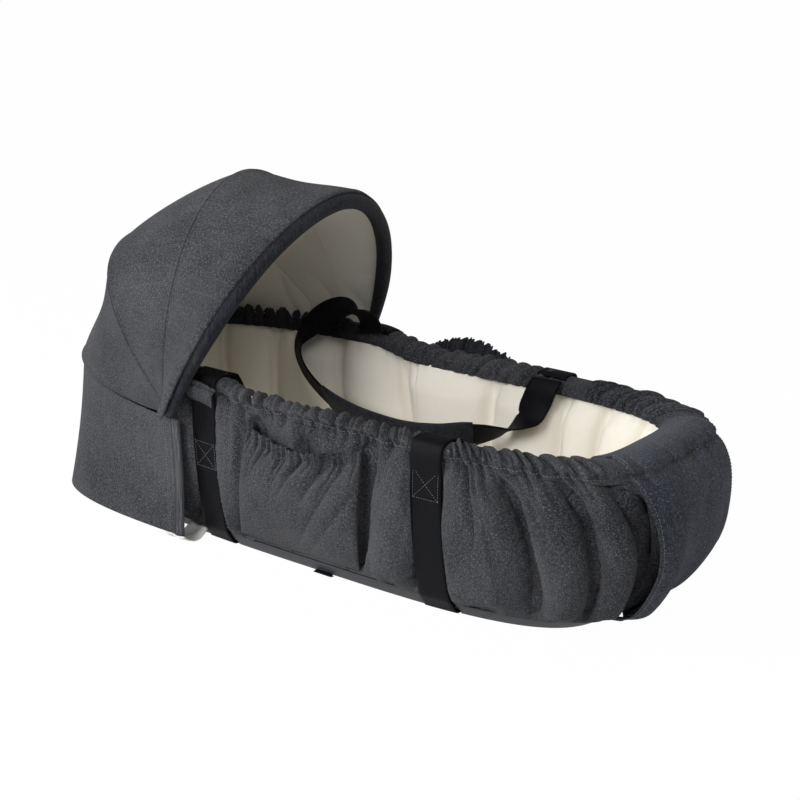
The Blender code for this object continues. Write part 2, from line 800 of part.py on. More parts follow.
def tube_solid(name, outer, inner):
    """A sleeve: an outer and an inner skin joined at both open ends."""
    size = len(outer[0])
    count = len(outer)
    points = [p for section in outer + inner for p in section]
    base = count * size
    faces = []
    for i in range(count - 1):
        for j in range(size):
            m = (j + 1) % size
            faces.append((i * size + j, (i + 1) * size + j, (i + 1) * size + m, i * size + m))
            faces.append((base + i * size + m, base + (i + 1) * size + m, base + (i + 1) * size + j, base + i * size + j))
    for i in (0, count - 1):
        for j in range(size):
            m = (j + 1) % size
            faces.append((i * size + j, i * size + m, base + i * size + m, base + i * size + j))
    made = mesh_object(name, points, faces)
    face_outward(made)
    return made


# Pockets
def pocket_lift(u, v):
    """How far a pocket stands off the wall: u along it and v up it, both 0 to 1."""
    return CLEAR * 3 + POCKET_BULGE * math.sin(math.pi * u) ** 0.55 * math.sin(math.pi / 2 * min(1.0, v * 1.25)) ** 0.9


def pocket_top(u):
    return POCKET_TOP - POCKET_DIP * math.sin(math.pi * u)


def build_pocket(label, side):
    rows = []
    across = 14
    for k in range(8):
        v = k / 7
        row = []
        for i in range(across + 1):
            u = i / across
            x = mix(POCKET_HEAD_X, POCKET_FOOT_X, u)
            z = mix(POCKET_BOTTOM, pocket_top(u), v)
            row.append(on_side(x, z, side, pocket_lift(u, v)))
        rows.append(row)
    made = sheet(label + "_pocket", rows, FABRIC, lambda f: (f.calc_center_median().x, 0, 0.09), 1.0)
    place(made, label + "_pocket", (DENIM, 0.85))
    rows = []
    for v in (0.915, 0.995):
        row = []
        for i in range(across + 1):
            u = i / across
            x = mix(POCKET_HEAD_X, POCKET_FOOT_X, u)
            z = mix(POCKET_BOTTOM, pocket_top(u), v)
            row.append(on_side(x, z, side, pocket_lift(u, v) + FABRIC + CLEAR * 1.5))
        rows.append(row)
    made = sheet(label + "_pocket_casing", rows, FABRIC, lambda f: (f.calc_center_median().x, 0, 0.09), 1.0)
    place(made, label + "_pocket_casing", (DENIM_DARK, 0.85))


# Foot cover
def cap_edge(z):
    part = min(1.0, z / WALL_TOP)
    return mix(CAP_EDGE_BOTTOM, CAP_EDGE_TOP, part)


def build_cap():
    """A cover over the foot end: up from the base band, over the rim and tucked inside it."""
    low = WALL_TOP - CASING_HEIGHT * 0.45
    top = WALL_TOP + CASING_HEIGHT * 0.55
    outer = wall_shape(WALL_TOP)
    inner = inner_shape(WALL_TOP)
    over = CASING_OVERHANG + RUFFLE_DEPTH + CAP_LIFT
    levels = [(grow(band_shape(z), CAP_LIFT), z, z) for z in (0.0045, 0.0125)]
    levels.append((grow(wall_shape(STEP_Z + 0.004), CAP_LIFT), STEP_Z + 0.0002, STEP_Z))
    levels += [(grow(wall_shape(z), CAP_LIFT), z, z) for z in (0.034, 0.060, 0.095, 0.130, 0.160)]
    levels.append((grow(wall_shape(low), CASING_SKIN + CLEAR + RUFFLE_DEPTH + CAP_LIFT), low, low))
    levels.append((grow(outer, over), WALL_TOP + 0.004, WALL_TOP))
    levels.append((grow(outer, over - 0.006), top + CAP_LIFT * 1.5, WALL_TOP))
    levels.append((grow(inner, -over + 0.004), top + CAP_LIFT * 1.5, WALL_TOP))
    levels.append((grow(inner, -over - 0.0050), WALL_TOP + 0.001, WALL_TOP))
    levels.append((grow(inner_shape(low), -LINING_SWELL - CASING_SKIN - CLEAR - CAP_LIFT - 0.0005), low, WALL_TOP))
    levels.append((grow(inner_shape(low), -LINING_SWELL - CAP_LIFT - 0.001), WALL_TOP - CAP_TUCK, WALL_TOP))
    steps = CAP_COLUMNS
    rows = []
    for shape, z, edge_z in levels:
        row = []
        for i in range(steps + 1):
            wanted = cap_edge(edge_z) * (2 * i / steps - 1)
            row.append(Vector((*outline_point(shape, t_at(wanted)), z)))
        rows.append(row)
    made = sheet("foot_cap", rows, CAP_FABRIC, lambda f: cap_core(f), 1.0)
    place(made, "foot_cap", (DENIM, 0.85))


def cap_core(face):
    """The middle of the wall nearest a face of the foot cover."""
    centre = face.calc_center_median()
    t = math.atan2(centre.y * 2.4, centre.x - 0.1)
    outer_x, outer_y = outline_point(grow(wall_shape(WALL_TOP), -0.016), max(-1.5, min(1.5, t)))
    return outer_x, outer_y, min(centre.z, WALL_TOP - 0.01)


FINE_T = []


def t_at(distance):
    """The outline value t at a signed distance along the wall from the foot end."""
    if not FINE_T:
        run = 0.0
        last = outline_point(MIDDLE, 0.0)
        for i in range(0, 2001):
            t = math.pi * i / 2000
            here = outline_point(MIDDLE, t)
            run += math.hypot(here[0] - last[0], here[1] - last[1])
            last = here
            FINE_T.append((run, t))
    size = abs(distance)
    low = 0
    high = len(FINE_T) - 1
    while high - low > 1:
        middle = (low + high) // 2
        if FINE_T[middle][0] < size:
            low = middle
        else:
            high = middle
    a, b = FINE_T[low], FINE_T[high]
    part = (size - a[0]) / max(1e-9, b[0] - a[0])
    return math.copysign(mix(a[1], b[1], min(1.0, part)), distance)


# Hood
def arch_point(angle, reach, half_width, phi, offset=0.0, power=ARCH_POWER):
    """A point of a hood arch: phi runs from the near pivot at 0 over the top to the far pivot at pi."""
    lean = math.radians(angle)
    r = reach * abs(math.sin(phi)) ** (2 / power)
    y = -half_width * signed_power(math.cos(phi), 2 / power)
    x = PIVOT_X + offset * math.sin(lean) + r * math.cos(lean)
    z = PIVOT_Z - offset * math.cos(lean) + r * math.sin(lean)
    return Vector((x, y, z))


def arch_phis(reach, start, count):
    """Even steps of phi over an arch, from the point that lies start above the pivots."""
    first = math.asin((start / reach) ** (ARCH_POWER / 2))
    return [mix(first, math.pi - first, i / count) for i in range(count + 1)]


ARCHES = {
    "front": (FRONT_ANGLE, FRONT_REACH, FRONT_HALF_WIDTH),
    "mid": (MID_ANGLE, MID_REACH, MID_HALF_WIDTH),
    "rear": (REAR_ANGLE, REAR_REACH, REAR_HALF_WIDTH),
    "band": (BAND_ANGLE, BAND_REACH, BAND_HALF_WIDTH),
}
ARCH_STEPS = 24


def panel(name, first, second, crown, inset, thickness, look, parent, steps=4, start_at=PANEL_START):
    """Hood fabric between two arches, lying inset below the outer skin."""
    a = ARCHES[first]
    b = ARCHES[second]
    rows = []
    for k in range(steps + 1):
        row = []
        for i in range(ARCH_STEPS + 1):
            phi_a = arch_phis(a[1], start_at, ARCH_STEPS)[i]
            phi_b = arch_phis(b[1], start_at, ARCH_STEPS)[i]
            start = arch_point(a[0], a[1] - inset, a[2] - inset, phi_a)
            end = arch_point(b[0], b[1] - inset, b[2] - inset, phi_b)
            gap = 0.0004 / max(0.004, (end - start).length)
            u = mix(gap, 1 - gap, k / steps)
            angle = mix(a[0], b[0], u)
            reach = mix(a[1], b[1], u) - inset + crown * math.sin(math.pi * u)
            half = mix(a[2], b[2], u) - inset
            row.append(arch_point(angle, reach, half, mix(phi_a, phi_b, u)))
        rows.append(row)
    made = sheet(name, rows, thickness, lambda f: (PIVOT_X, 0, PIVOT_Z), -1.0)
    place(made, name, look, parent)


def eye_y(index):
    """Distance from the middle of the nest to the eye of wire 0 (rear), 1 (mid) or 2 (front)."""
    start = side_y(wall_shape(PIVOT_Z), PIVOT_X) + CLEAR * 2 + BRACKET_THICKNESS + FIRST_EYE_GAP
    return start + EYE_PITCH * index


BRACKET_THICKNESS = 0.003


def build_wire(name, arch, index, parent):
    """A sprung steel wire arch with an eye at each end, round the pivot pins."""
    angle, reach, half = ARCHES[arch]
    reach -= HOOD_SKIN + WIRE_GAP + WIRE_RADIUS
    half -= HOOD_SKIN + WIRE_GAP + WIRE_RADIUS
    start = EYE_RADIUS - 0.0012
    count = WIRE_STEPS
    path = []
    for phi in arch_phis(reach, start, count):
        point = arch_point(angle, reach, half, phi)
        rise = (point - Vector((PIVOT_X, point.y, PIVOT_Z))).length
        draw = (half - eye_y(index)) * math.exp(-((rise / WIRE_DRAW) ** 2))
        point.y -= math.copysign(draw, point.y)
        path.append(point)
    sections = []
    for i, point in enumerate(path):
        along = (path[min(i + 1, count)] - path[max(i - 1, 0)]).normalized()
        lean = math.radians(angle)
        side = Vector((math.sin(lean), 0, -math.cos(lean)))
        up = along.cross(side).normalized()
        ring = []
        for k in range(WIRE_SIDES):
            turn = 2 * math.pi / WIRE_SIDES * k
            ring.append(point + side * WIRE_RADIUS * math.cos(turn) + up * WIRE_RADIUS * math.sin(turn))
        sections.append(ring)
    wire = bar_solid(name, sections)
    place(wire, name, (STEEL, 0.35, 1.0), parent)
    for side in (-1, 1):
        eye = lathe_y(
            name + "_eye",
            (
                (EYE_HOLE, -EYE_THICKNESS / 2),
                (EYE_RADIUS, -EYE_THICKNESS / 2),
                (EYE_RADIUS, EYE_THICKNESS / 2),
                (EYE_HOLE, EYE_THICKNESS / 2),
            ),
            (PIVOT_X, side * eye_y(index), PIVOT_Z),
            14,
            CUTTERS,
        )
        eye.hide_render = True
        eye.display_type = "WIRE"
        eye.parent = parent
        eye.matrix_parent_inverse = Matrix.Translation(-Vector(parent.location))
        joined = wire.modifiers.new("eye", "BOOLEAN")
        joined.operation = "UNION"
        joined.solver = "EXACT"
        joined.object = eye
    return wire


def lathe_y(name, profile, centre, count, group=NEST):
    """A turned piece on a line along Y: profile points are a radius and a distance along Y; a closed loop."""
    sections = []
    for i in range(count):
        turn = 2 * math.pi * i / count
        sections.append([
            Vector((centre[0] + r * math.cos(turn), centre[1] + y, centre[2] + r * math.sin(turn))) for r, y in profile
        ])
    size = len(profile)
    points = [p for section in sections for p in section]
    faces = []
    for i in range(count):
        k = (i + 1) % count
        for j in range(size):
            m = (j + 1) % size
            faces.append((i * size + j, k * size + j, k * size + m, i * size + m))
    made = mesh_object(name, points, faces, group)
    weld(made)
    face_outward(made)
    return made


def weld(made):
    work = bmesh.new()
    work.from_mesh(made.data)
    bmesh.ops.remove_doubles(work, verts=work.verts, dist=1e-6)
    work.to_mesh(made.data)
    work.free()


def build_pivot(label, side):
    """Bracket on the wall and the pin through it that carries the three wires' eyes."""
    y0 = side_y(wall_shape(PIVOT_Z), PIVOT_X) + CLEAR * 2
    half_x = 0.013
    half_z = 0.016
    corner = 0.005
    loop = []
    for sx, sz in ((1, 1), (-1, 1), (-1, -1), (1, -1)):
        start = {(1, 1): 0, (-1, 1): 90, (-1, -1): 180, (1, -1): 270}[(sx, sz)]
        for k in range(4):
            turn = math.radians(start + 30 * k)
            loop.append((sx * (half_x - corner) + corner * math.cos(turn), sz * (half_z - corner) + corner * math.sin(turn)))
    sections = []
    for y in (y0, y0 + BRACKET_THICKNESS):
        sections.append([Vector((PIVOT_X + x, side * y, PIVOT_Z + z)) for x, z in loop])
    bracket = bar_solid(label + "_hood_bracket", sections)
    place(bracket, label + "_hood_bracket", ((0.02, 0.02, 0.022, 1.0), 0.45), smooth=False)
    hole = lathe_y(
        label + "_pin_hole",
        ((0.0, -0.02), (EYE_HOLE, -0.02), (EYE_HOLE, 0.02), (0.0, 0.02)),
        (PIVOT_X, side * (y0 + BRACKET_THICKNESS / 2), PIVOT_Z),
        14,
        CUTTERS,
    )
    hole.hide_render = True
    hole.display_type = "WIRE"
    cut = bracket.modifiers.new("pin hole", "BOOLEAN")
    cut.operation = "DIFFERENCE"
    cut.solver = "EXACT"
    cut.object = hole
    shaft = EYE_HOLE - CLEAR
    first = CLEAR * 0.5
    tail = BRACKET_THICKNESS + FIRST_EYE_GAP + EYE_PITCH * 2 + EYE_THICKNESS / 2
    head_in = EYE_HOLE + 0.0022
    start = BRACKET_THICKNESS + CLEAR
    profile = (
        (0.0, first),
        (shaft, first),
        (shaft, start),
        (shaft, tail + CLEAR * 2),
        (head_in, tail + CLEAR * 2),
        (head_in, tail + CLEAR * 2 + 0.0010),
        (0.0, tail + CLEAR * 2 + 0.0014),
    )
    flipped = tuple((r, side * y) for r, y in profile)
    pin = lathe_y(label + "_hood_pin", flipped, (PIVOT_X, side * y0, PIVOT_Z), 14)
    place(pin, label + "_hood_pin", (STEEL, 0.35, 1.0))


def build_binding(parent):
    """The padded edge of the hood's mouth, in front of the front wire."""
    sections = []
    count = BINDING_STEPS
    half_depth = BINDING_DEPTH / 2
    reach = BINDING_INNER_REACH + half_depth
    half = BINDING_INNER_HALF_WIDTH + half_depth
    lean = math.radians(FRONT_ANGLE)
    side = Vector((math.sin(lean), 0, -math.cos(lean)))
    ahead = WIRE_RADIUS + CLEAR + BINDING_HALF_THICKNESS * signed_power(math.cos(math.pi / 8), 0.8)
    path = [arch_point(FRONT_ANGLE, reach, half, phi, ahead) for phi in arch_phis(reach, 0.012, count)]
    for i, point in enumerate(path):
        along = (path[min(i + 1, count)] - path[max(i - 1, 0)]).normalized()
        up = along.cross(side).normalized()
        ring = []
        for k in range(8):
            turn = math.pi / 4 * (k + 0.5)
            wide = signed_power(math.cos(turn), 0.8) * BINDING_HALF_THICKNESS
            deep = signed_power(math.sin(turn), 0.8) * half_depth
            ring.append(point + side * wide + up * deep)
        sections.append(ring)
    made = bar_solid("front_binding", sections)
    place(made, "front_binding", (DENIM_DARK, 0.8), parent)


def skirt_top(part):
    """The skirt's upper edge, part 0 at the near front edge and 1 at the far one."""
    front = (SKIRT_FRONT_X + 0.0, BAND_HALF_WIDTH)
    flat = SKIRT_FRONT_X - PIVOT_X
    arc = 0.62
    run = flat * 2 + arc
    walk = part * run
    if walk < flat:
        return Vector((front[0] - walk, -BAND_HALF_WIDTH, PIVOT_Z - 0.0035))
    if walk > run - flat:
        return Vector((front[0] - (run - walk), BAND_HALF_WIDTH, PIVOT_Z - 0.0035))
    phi = math.pi * (walk - flat) / arc
    point = arch_point(BAND_ANGLE, BAND_REACH, BAND_HALF_WIDTH, phi)
    return point - Vector((0, 0, mix(0.0035, 0.0004, math.sin(phi))))


def skirt_bottom(part):
    reach = SKIRT_CENTRE_X - SKIRT_HEAD_X
    first = math.acos(-((abs((SKIRT_FRONT_X - SKIRT_CENTRE_X) / reach)) ** (SKIRT_SQUARENESS / 2)))
    t = mix(-first, -(2 * math.pi - first), part)
    x = SKIRT_CENTRE_X + reach * signed_power(math.cos(t), 2 / SKIRT_SQUARENESS)
    y = SKIRT_HALF_WIDTH * signed_power(math.sin(t), 2 / SKIRT_SQUARENESS)
    return Vector((x, y, SKIRT_BOTTOM))


def even_curve(curve, count):
    """Points at even distances along a curve of part 0 to 1."""
    fine = 800
    points = [curve(i / fine) for i in range(fine + 1)]
    sums = [0.0]
    for a, b in zip(points, points[1:]):
        sums.append(sums[-1] + (b - a).length)
    out = []
    k = 0
    for i in range(count + 1):
        wanted = sums[-1] * i / count
        while k < fine - 1 and sums[k + 1] < wanted:
            k += 1
        part = (wanted - sums[k]) / max(1e-9, sums[k + 1] - sums[k])
        out.append(points[k].lerp(points[k + 1], min(1.0, part)))
    return out


def build_skirt():
    """The fixed lower part of the hood, round the outside of the head end."""
    columns = 36
    top = even_curve(skirt_top, columns)
    low = even_curve(skirt_bottom, columns)
    rows = []
    for k in range(6):
        v = k / 5
        row = []
        for a, b in zip(low, top):
            out = Vector((b.x - PIVOT_X if b.x < PIVOT_X else 0.0, b.y, 0)).normalized()
            row.append(a.lerp(b, v) - out * 0.003 * math.sin(math.pi * v))
        rows.append(row)
    made = sheet("hood_skirt", rows, HOOD_SKIN, lambda f: (max(-0.25, f.calc_center_median().x), 0, 0.08), -1.0)
    place(made, "hood_skirt", (DENIM, 0.85))
    for label, side in (("near", -1), ("far", 1)):
        rows = []
        for v in (0.0, 0.25, 0.5, 0.75, 1.0):
            z = mix(SKIRT_BOTTOM, PIVOT_Z - 0.0035, v)
            y = mix(SKIRT_HALF_WIDTH, BAND_HALF_WIDTH, v) - 0.0030 * math.sin(math.pi * v)
            rows.append([Vector((SKIRT_FRONT_X + dx, side * (y + 0.0012), z)) for dx in (CLEAR * 2, 0.012)])
        edge = sheet(label + "_skirt_binding", rows, 0.005, lambda f: (f.calc_center_median().x, 0, 0.08), -1.0)
        place(edge, label + "_skirt_binding", (DENIM_DARK, 0.8))


# Small sewn pieces
def flat_piece(name, corners, thickness, look):
    sections = [corners, [c + Vector((0, 0, thickness)) for c in corners]]
    place(bar_solid(name, sections), name, look, smooth=False)


def build_trim():
    for label, side in (("near", -1), ("far", 1)):
        # Denim keeper over the webbing at the head end
        rows = []
        lift = CLEAR * 3 + WEB_THICKNESS
        half = WEB_WIDTH / 2 + 0.006
        for z in (0.136, 0.148, 0.160):
            row = []
            for dx in (-half, -WEB_WIDTH / 2, 0.0, WEB_WIDTH / 2, half):
                rise = lift + CLEAR if abs(dx) < half else CLEAR * 2
                row.append(on_side(HEAD_LEG_X + dx, z, side, rise))
            rows.append(row)
        made = sheet(label + "_keeper", rows, FABRIC, lambda f: (f.calc_center_median().x, 0, 0.09), 1.0)
        place(made, label + "_keeper", (DENIM, 0.85))
        # Tab that ties the skirt's hem to the base
        y_out = SKIRT_HALF_WIDTH - HOOD_SKIN - CLEAR * 4
        y_in = side_y(band_shape(BAND_HEIGHT), -0.146) + CLEAR * 2
        z = SKIRT_BOTTOM
        corners = [Vector((x, side * y, z)) for x, y in ((-0.172, y_in), (-0.146, y_in), (-0.146, y_out), (-0.172, y_out))]
        flat_piece(label + "_hem_tab", corners, 0.0015, (CREAM, 0.9))
        # Small loop under the edge of the base
        y_in = side_y(band_shape(0.0019), 0.046) + CLEAR * 2
        corners = [Vector((x, side * y, 0.0004)) for x, y in ((0.036, y_in), (0.056, y_in), (0.056, y_in + 0.006), (0.036, y_in + 0.006))]
        flat_piece(label + "_base_loop", corners, 0.0015, (WEBBING, 0.6))


def build_hood():
    pivot = (PIVOT_X, 0.0, PIVOT_Z)
    rear = empty("hood_rear_pivot", pivot)
    mid = empty("hood_mid_pivot", pivot)
    front = empty("hood_front_pivot", pivot)
    build_wire("rear_wire", "rear", 0, rear)
    build_wire("mid_wire", "mid", 1, mid)
    build_wire("front_wire", "front", 2, front)
    build_binding(front)
    lining_inset = HOOD_SKIN + 2 * WIRE_RADIUS + 2 * WIRE_GAP
    denim = (DENIM, 0.85)
    cream = (HOOD_CREAM, 0.9)
    panel("front_hood_panel", "front", "mid", FRONT_CROWN, 0.0, HOOD_SKIN, denim, mid)
    panel("mid_hood_panel", "mid", "rear", MID_CROWN, 0.0, HOOD_SKIN, denim, rear)
    panel("rear_hood_panel", "rear", "band", REAR_CROWN, 0.0, HOOD_SKIN, denim, None)
    panel("front_hood_lining", "front", "mid", FRONT_CROWN, lining_inset, LINING_SKIN, cream, mid, 2, LINING_START)
    panel("mid_hood_lining", "mid", "rear", MID_CROWN, lining_inset, LINING_SKIN, cream, rear, 3, LINING_START)
    panel("rear_hood_lining", "rear", "band", REAR_CROWN, lining_inset, LINING_SKIN, cream, None, 3, LINING_START)
    for label, side in (("near", -1), ("far", 1)):
        build_pivot(label, side)
    build_skirt()


build_base()
build_wall()
build_rim()
build_cap()
sling("head_sling", HEAD_LEG_X)
sling("foot_sling", FOOT_LEG_X)
build_handle("near_handle", -1, NEAR_LOOP, NEAR_GRIP)
build_handle("far_handle", 1, FAR_LOOP, FAR_GRIP)
build_pocket("near", -1)
build_pocket("far", 1)
build_trim()
build_hood()
bpy.context.view_layer.update()
print("nest pieces:", sum(1 for o in NEST.objects if o.type == "MESH"))
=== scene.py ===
# %% [markdown]
# # A soft baby nest, dressed
# The imported model is the frame: base, wires, pins and simple solids for everything soft.
# This lesson puts the cloth on it, piece by piece. Each piece is made and named for what it is on the real nest, and
# most are tied to the body that carries it. Everything is in metres: X runs from the head end to the foot end, Z is up.

# %% Load the frame
import math

import bpy
import numpy as np
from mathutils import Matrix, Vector


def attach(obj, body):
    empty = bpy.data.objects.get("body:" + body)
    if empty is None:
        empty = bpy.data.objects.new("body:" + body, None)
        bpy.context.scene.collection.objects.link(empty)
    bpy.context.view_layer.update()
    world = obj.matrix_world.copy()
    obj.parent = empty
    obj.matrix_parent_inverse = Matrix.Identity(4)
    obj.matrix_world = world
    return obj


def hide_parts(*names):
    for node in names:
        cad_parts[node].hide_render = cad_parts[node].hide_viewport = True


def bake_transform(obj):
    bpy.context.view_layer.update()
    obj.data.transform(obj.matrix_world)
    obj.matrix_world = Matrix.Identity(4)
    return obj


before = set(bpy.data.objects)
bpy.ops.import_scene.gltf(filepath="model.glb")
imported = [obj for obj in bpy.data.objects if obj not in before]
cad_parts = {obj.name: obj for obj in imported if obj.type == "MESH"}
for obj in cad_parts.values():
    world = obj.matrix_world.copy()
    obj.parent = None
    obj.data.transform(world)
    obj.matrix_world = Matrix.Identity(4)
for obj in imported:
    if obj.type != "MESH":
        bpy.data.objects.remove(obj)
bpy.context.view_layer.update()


def placed(name, data):
    """A new object with that mesh, lamp or camera, in the scene."""
    made = bpy.data.objects.new(name, data)
    bpy.context.scene.collection.objects.link(made)
    return made


# %% [markdown]
# The camera stands where the photographer stood: low, in front of the near side, towards the foot end. Its place was
# found by fitting the outlines of the base, the rim and the hood. A 72 mm lens on a 36 mm wide picture gives the same
# slight perspective.

# %% Camera
AIM = Vector((-0.01855, 0.0893, 0.1368))
AZIMUTH = math.radians(38.003)
RISE = math.radians(17.587)
DISTANCE = 1.940

lens = bpy.data.cameras.new("camera")
lens.lens = 72.0
lens.sensor_width = 36.0
camera = placed("camera", lens)
away = Vector((math.sin(AZIMUTH) * math.cos(RISE), -math.cos(AZIMUTH) * math.cos(RISE), math.sin(RISE)))
camera.location = AIM + away * DISTANCE
camera.rotation_euler = away.to_track_quat("Z", "Y").to_euler()
bpy.context.scene.camera = camera
bpy.context.scene.view_settings.view_transform = "Standard"
print("camera at", [round(v, 3) for v in camera.location])

# %% [markdown]
# Shader maths reads best as plain expressions. `Wire` stands for one output socket, and each operator adds the Math
# node that it means. `Net` belongs to one material: its `node` method makes any other node, with settings first and
# then the values or wires of its sockets.

# %% Small language for materials
class Wire:
    """One output socket, with the arithmetic that Math nodes do."""

    def __init__(self, net, socket):
        self.net = net
        self.socket = socket

    def maths(self, operation, *others):
        return self.net.node("ShaderNodeMath", {"operation": operation}, dict(enumerate((self, *others))))

    def __add__(self, other):
        return self.maths("ADD", other)

    def __mul__(self, other):
        return self.maths("MULTIPLY", other)

    def __sub__(self, other):
        return self.maths("SUBTRACT", other)


class Net:
    """The node tree of one material, ending in one Principled BSDF."""

    def __init__(self, name):
        self.material = bpy.data.materials.new(name)
        self.material.use_nodes = True
        self.tree = self.material.node_tree
        self.shader = self.tree.nodes["Principled BSDF"]

    def node(self, kind, settings=None, values=None, output=0):
        made = self.tree.nodes.new(kind)
        for key, value in (settings or {}).items():
            setattr(made, key, value)
        for key, value in (values or {}).items():
            self.feed(made.inputs[key], value)
        return Wire(self, made.outputs[output])

    def feed(self, socket, value):
        if isinstance(value, Wire):
            self.tree.links.new(value.socket, socket)
        else:
            socket.default_value = value

    def blend(self, share, first, second):
        """Sockets 0, 6 and 7 of a Mix node are its factor and its two colours."""
        return self.node("ShaderNodeMix", {"data_type": "RGBA"}, {0: share, 6: first, 7: second}, output=2)

    def noise(self, where, scale, detail=2.0, rough=0.5):
        values = {"Vector": where, "Scale": scale, "Detail": detail, "Roughness": rough}
        return self.node("ShaderNodeTexNoise", {"noise_dimensions": "3D"}, values)

    def stretched(self, where, factors):
        return self.node("ShaderNodeVectorMath", {"operation": "MULTIPLY"}, {0: where, 1: factors})

    def levels(self, wire, low, high):
        values = {"Value": wire, "From Min": low, "From Max": high}
        return self.node("ShaderNodeMapRange", {"clamp": True}, values)

    def bump(self, height, distance, strength):
        return self.node("ShaderNodeBump", {}, {"Height": height, "Distance": distance, "Strength": strength})

    def finish(self, colour, roughness, normal=None, **fixed):
        self.feed(self.shader.inputs["Base Color"], colour)
        self.feed(self.shader.inputs["Roughness"], roughness)
        if normal is not None:
            self.feed(self.shader.inputs["Normal"], normal)
        for key, value in fixed.items():
            self.shader.inputs[key.replace("_", " ")].default_value = value
        return self.material


print("operators ready:", [n for n in ("__add__", "__mul__", "__sub__") if hasattr(Wire, n)])

# %% [markdown]
# The denim of the nest is a melange: threads of charcoal, blue-grey and nearly white are spun together, so from a step
# away it looks dark and lightly speckled. Each cloth piece carries a UV map in metres that was laid out along its
# threads. The weave is two crossed waves in that map, the flecks are noise drawn out along the warp, and slow
# noise over the object gives the patches where the dye took differently.

# %% Denim
DENIM_THREADS = 950
WEFT_SHARE = 0.86
DENIM_ROUGH = 0.86
DYE_PATCHES = 0.16
DEEP_BLUE = (0.052, 0.062, 0.105, 1.0)
BETWEEN_THREADS = (0.010, 0.011, 0.014, 1.0)


def thread_axes(net):
    """The UV map of a piece, and its two directions as wires."""
    where = net.node("ShaderNodeUVMap")
    parts = net.node("ShaderNodeSeparateXYZ", {}, {"Vector": where}).socket.node.outputs
    return where, Wire(net, parts[0]), Wire(net, parts[1])


def waves(wire, count):
    """That many sine waves to the metre."""
    return (wire * (2 * math.pi * count)).maths("SINE")


def woven(net, threads):
    """Height of a plain weave with that many threads to the metre."""
    where, across, along = thread_axes(net)
    return where, waves(across, threads) * waves(along, threads * WEFT_SHARE) * 0.5 + 0.5


def specks(net, where, stretch, low, high, rough=0.5):
    """Flecks from noise that is drawn out along the threads, cut to the levels between low and high."""
    return net.levels(net.noise(net.stretched(where, stretch), 1.0, 2.0, rough), low, high)


def melange(name, dark, pale, fleck):
    net = Net(name)
    where, weave = woven(net, DENIM_THREADS)
    place = net.node("ShaderNodeTexCoord", output="Object")
    yarn = specks(net, where, (780, 330, 1), 0.51, 0.74, 0.6)
    cross = specks(net, where, (300, 860, 1), 0.53, 0.76, 0.6)
    hollow = specks(net, where, (640, 520, 1), 0.30, 0.52, 0.6)
    slub = specks(net, where, (240, 40, 1), 0.35, 0.75)
    slow = net.levels(net.noise(place, 9.0, 3.0), 0.3, 0.7)
    blue = net.levels(net.noise(place, 260.0, 2.0), 0.45, 0.7)
    share = (yarn + cross * 0.85) * fleck + slub * 0.08 + (slow - 0.5) * DYE_PATCHES + hollow * 0.10
    base = net.blend(net.levels(share, 0.0, 1.0), dark, pale)
    tinted = net.blend(blue * 0.22, base, DEEP_BLUE)
    shaded = net.blend(net.levels(weave, 0.0, 0.55), net.blend(0.45, tinted, BETWEEN_THREADS), tinted)
    height = weave + yarn * 0.6 + hollow * 0.3
    return net.finish(shaded, slow * -0.06 + DENIM_ROUGH, net.bump(height, 0.00030, 0.8), Sheen_Weight=0.06,
                      Sheen_Roughness=0.5, Specular_IOR_Level=0.12)


DENIM = melange("denim_melange", (0.0040, 0.0045, 0.0063, 1.0), (0.240, 0.241, 0.252, 1.0), 0.395)
# The second denim is the same melange darkened: its colour is painted shade, used on the casing under the hood, pouch
# insides, mouth edge and sleeves.
SHADED_DENIM = melange("shaded_denim", (0.0050, 0.0053, 0.0070, 1.0), (0.085, 0.086, 0.096, 1.0), 0.28)
NAVY_DENIM = melange("denim_foot", (0.0095, 0.0118, 0.0180, 1.0), (0.245, 0.260, 0.300, 1.0), 0.45)
print("denim:", DENIM.name, SHADED_DENIM.name, NAVY_DENIM.name)

# %% [markdown]
# The other finishes are simpler cloths: fine cotton for the lining, ribbed webbing for the straps, a close synthetic
# for the base. Thread, steel, moulded plastic, board and wadding finish the small and hidden pieces.

# %% Cotton, webbing, base cloth and small finishes
COTTON_THREADS = 1500
COTTON_ROUGH = 0.88
WEBBING_RIBS = 420
WEBBING_PICKS = 560


def cotton(name, tone, shade):
    net = Net(name)
    where, weave = woven(net, COTTON_THREADS)
    place = net.node("ShaderNodeTexCoord", output="Object")
    slub = specks(net, where, (700, 90, 1), 0.4, 0.7)
    slow = net.levels(net.noise(place, 14.0, 3.0), 0.3, 0.7)
    crease = net.noise(net.stretched(where, (160, 34, 1)), 1.0, 3.0, 0.6)
    colour = net.blend(slub * 0.18 + slow * 0.22, tone, shade)
    height = weave * 0.35 + crease * 1.8
    return net.finish(colour, slub * 0.05 + COTTON_ROUGH, net.bump(height, 0.00030, 0.6), Sheen_Weight=0.12)


def webbing(name, dark, pale):
    net = Net(name)
    where, across, along = thread_axes(net)
    ribs = waves(across, WEBBING_RIBS) * 0.5 + 0.5
    picks = waves(along + across * 0.5, WEBBING_PICKS) * 0.5 + 0.5
    fuzz = net.noise(net.stretched(where, (1600, 700, 1)), 1.0, 2.0)
    height = ribs * 0.6 + picks * 0.4
    colour = net.blend(net.levels(height * 0.5 + fuzz * 0.6, 0.25, 1.0), dark, pale)
    return net.finish(colour, fuzz * 0.14 + 0.50, net.bump(height, 0.00025, 0.8), Sheen_Weight=0.0,
                      Specular_IOR_Level=0.09)


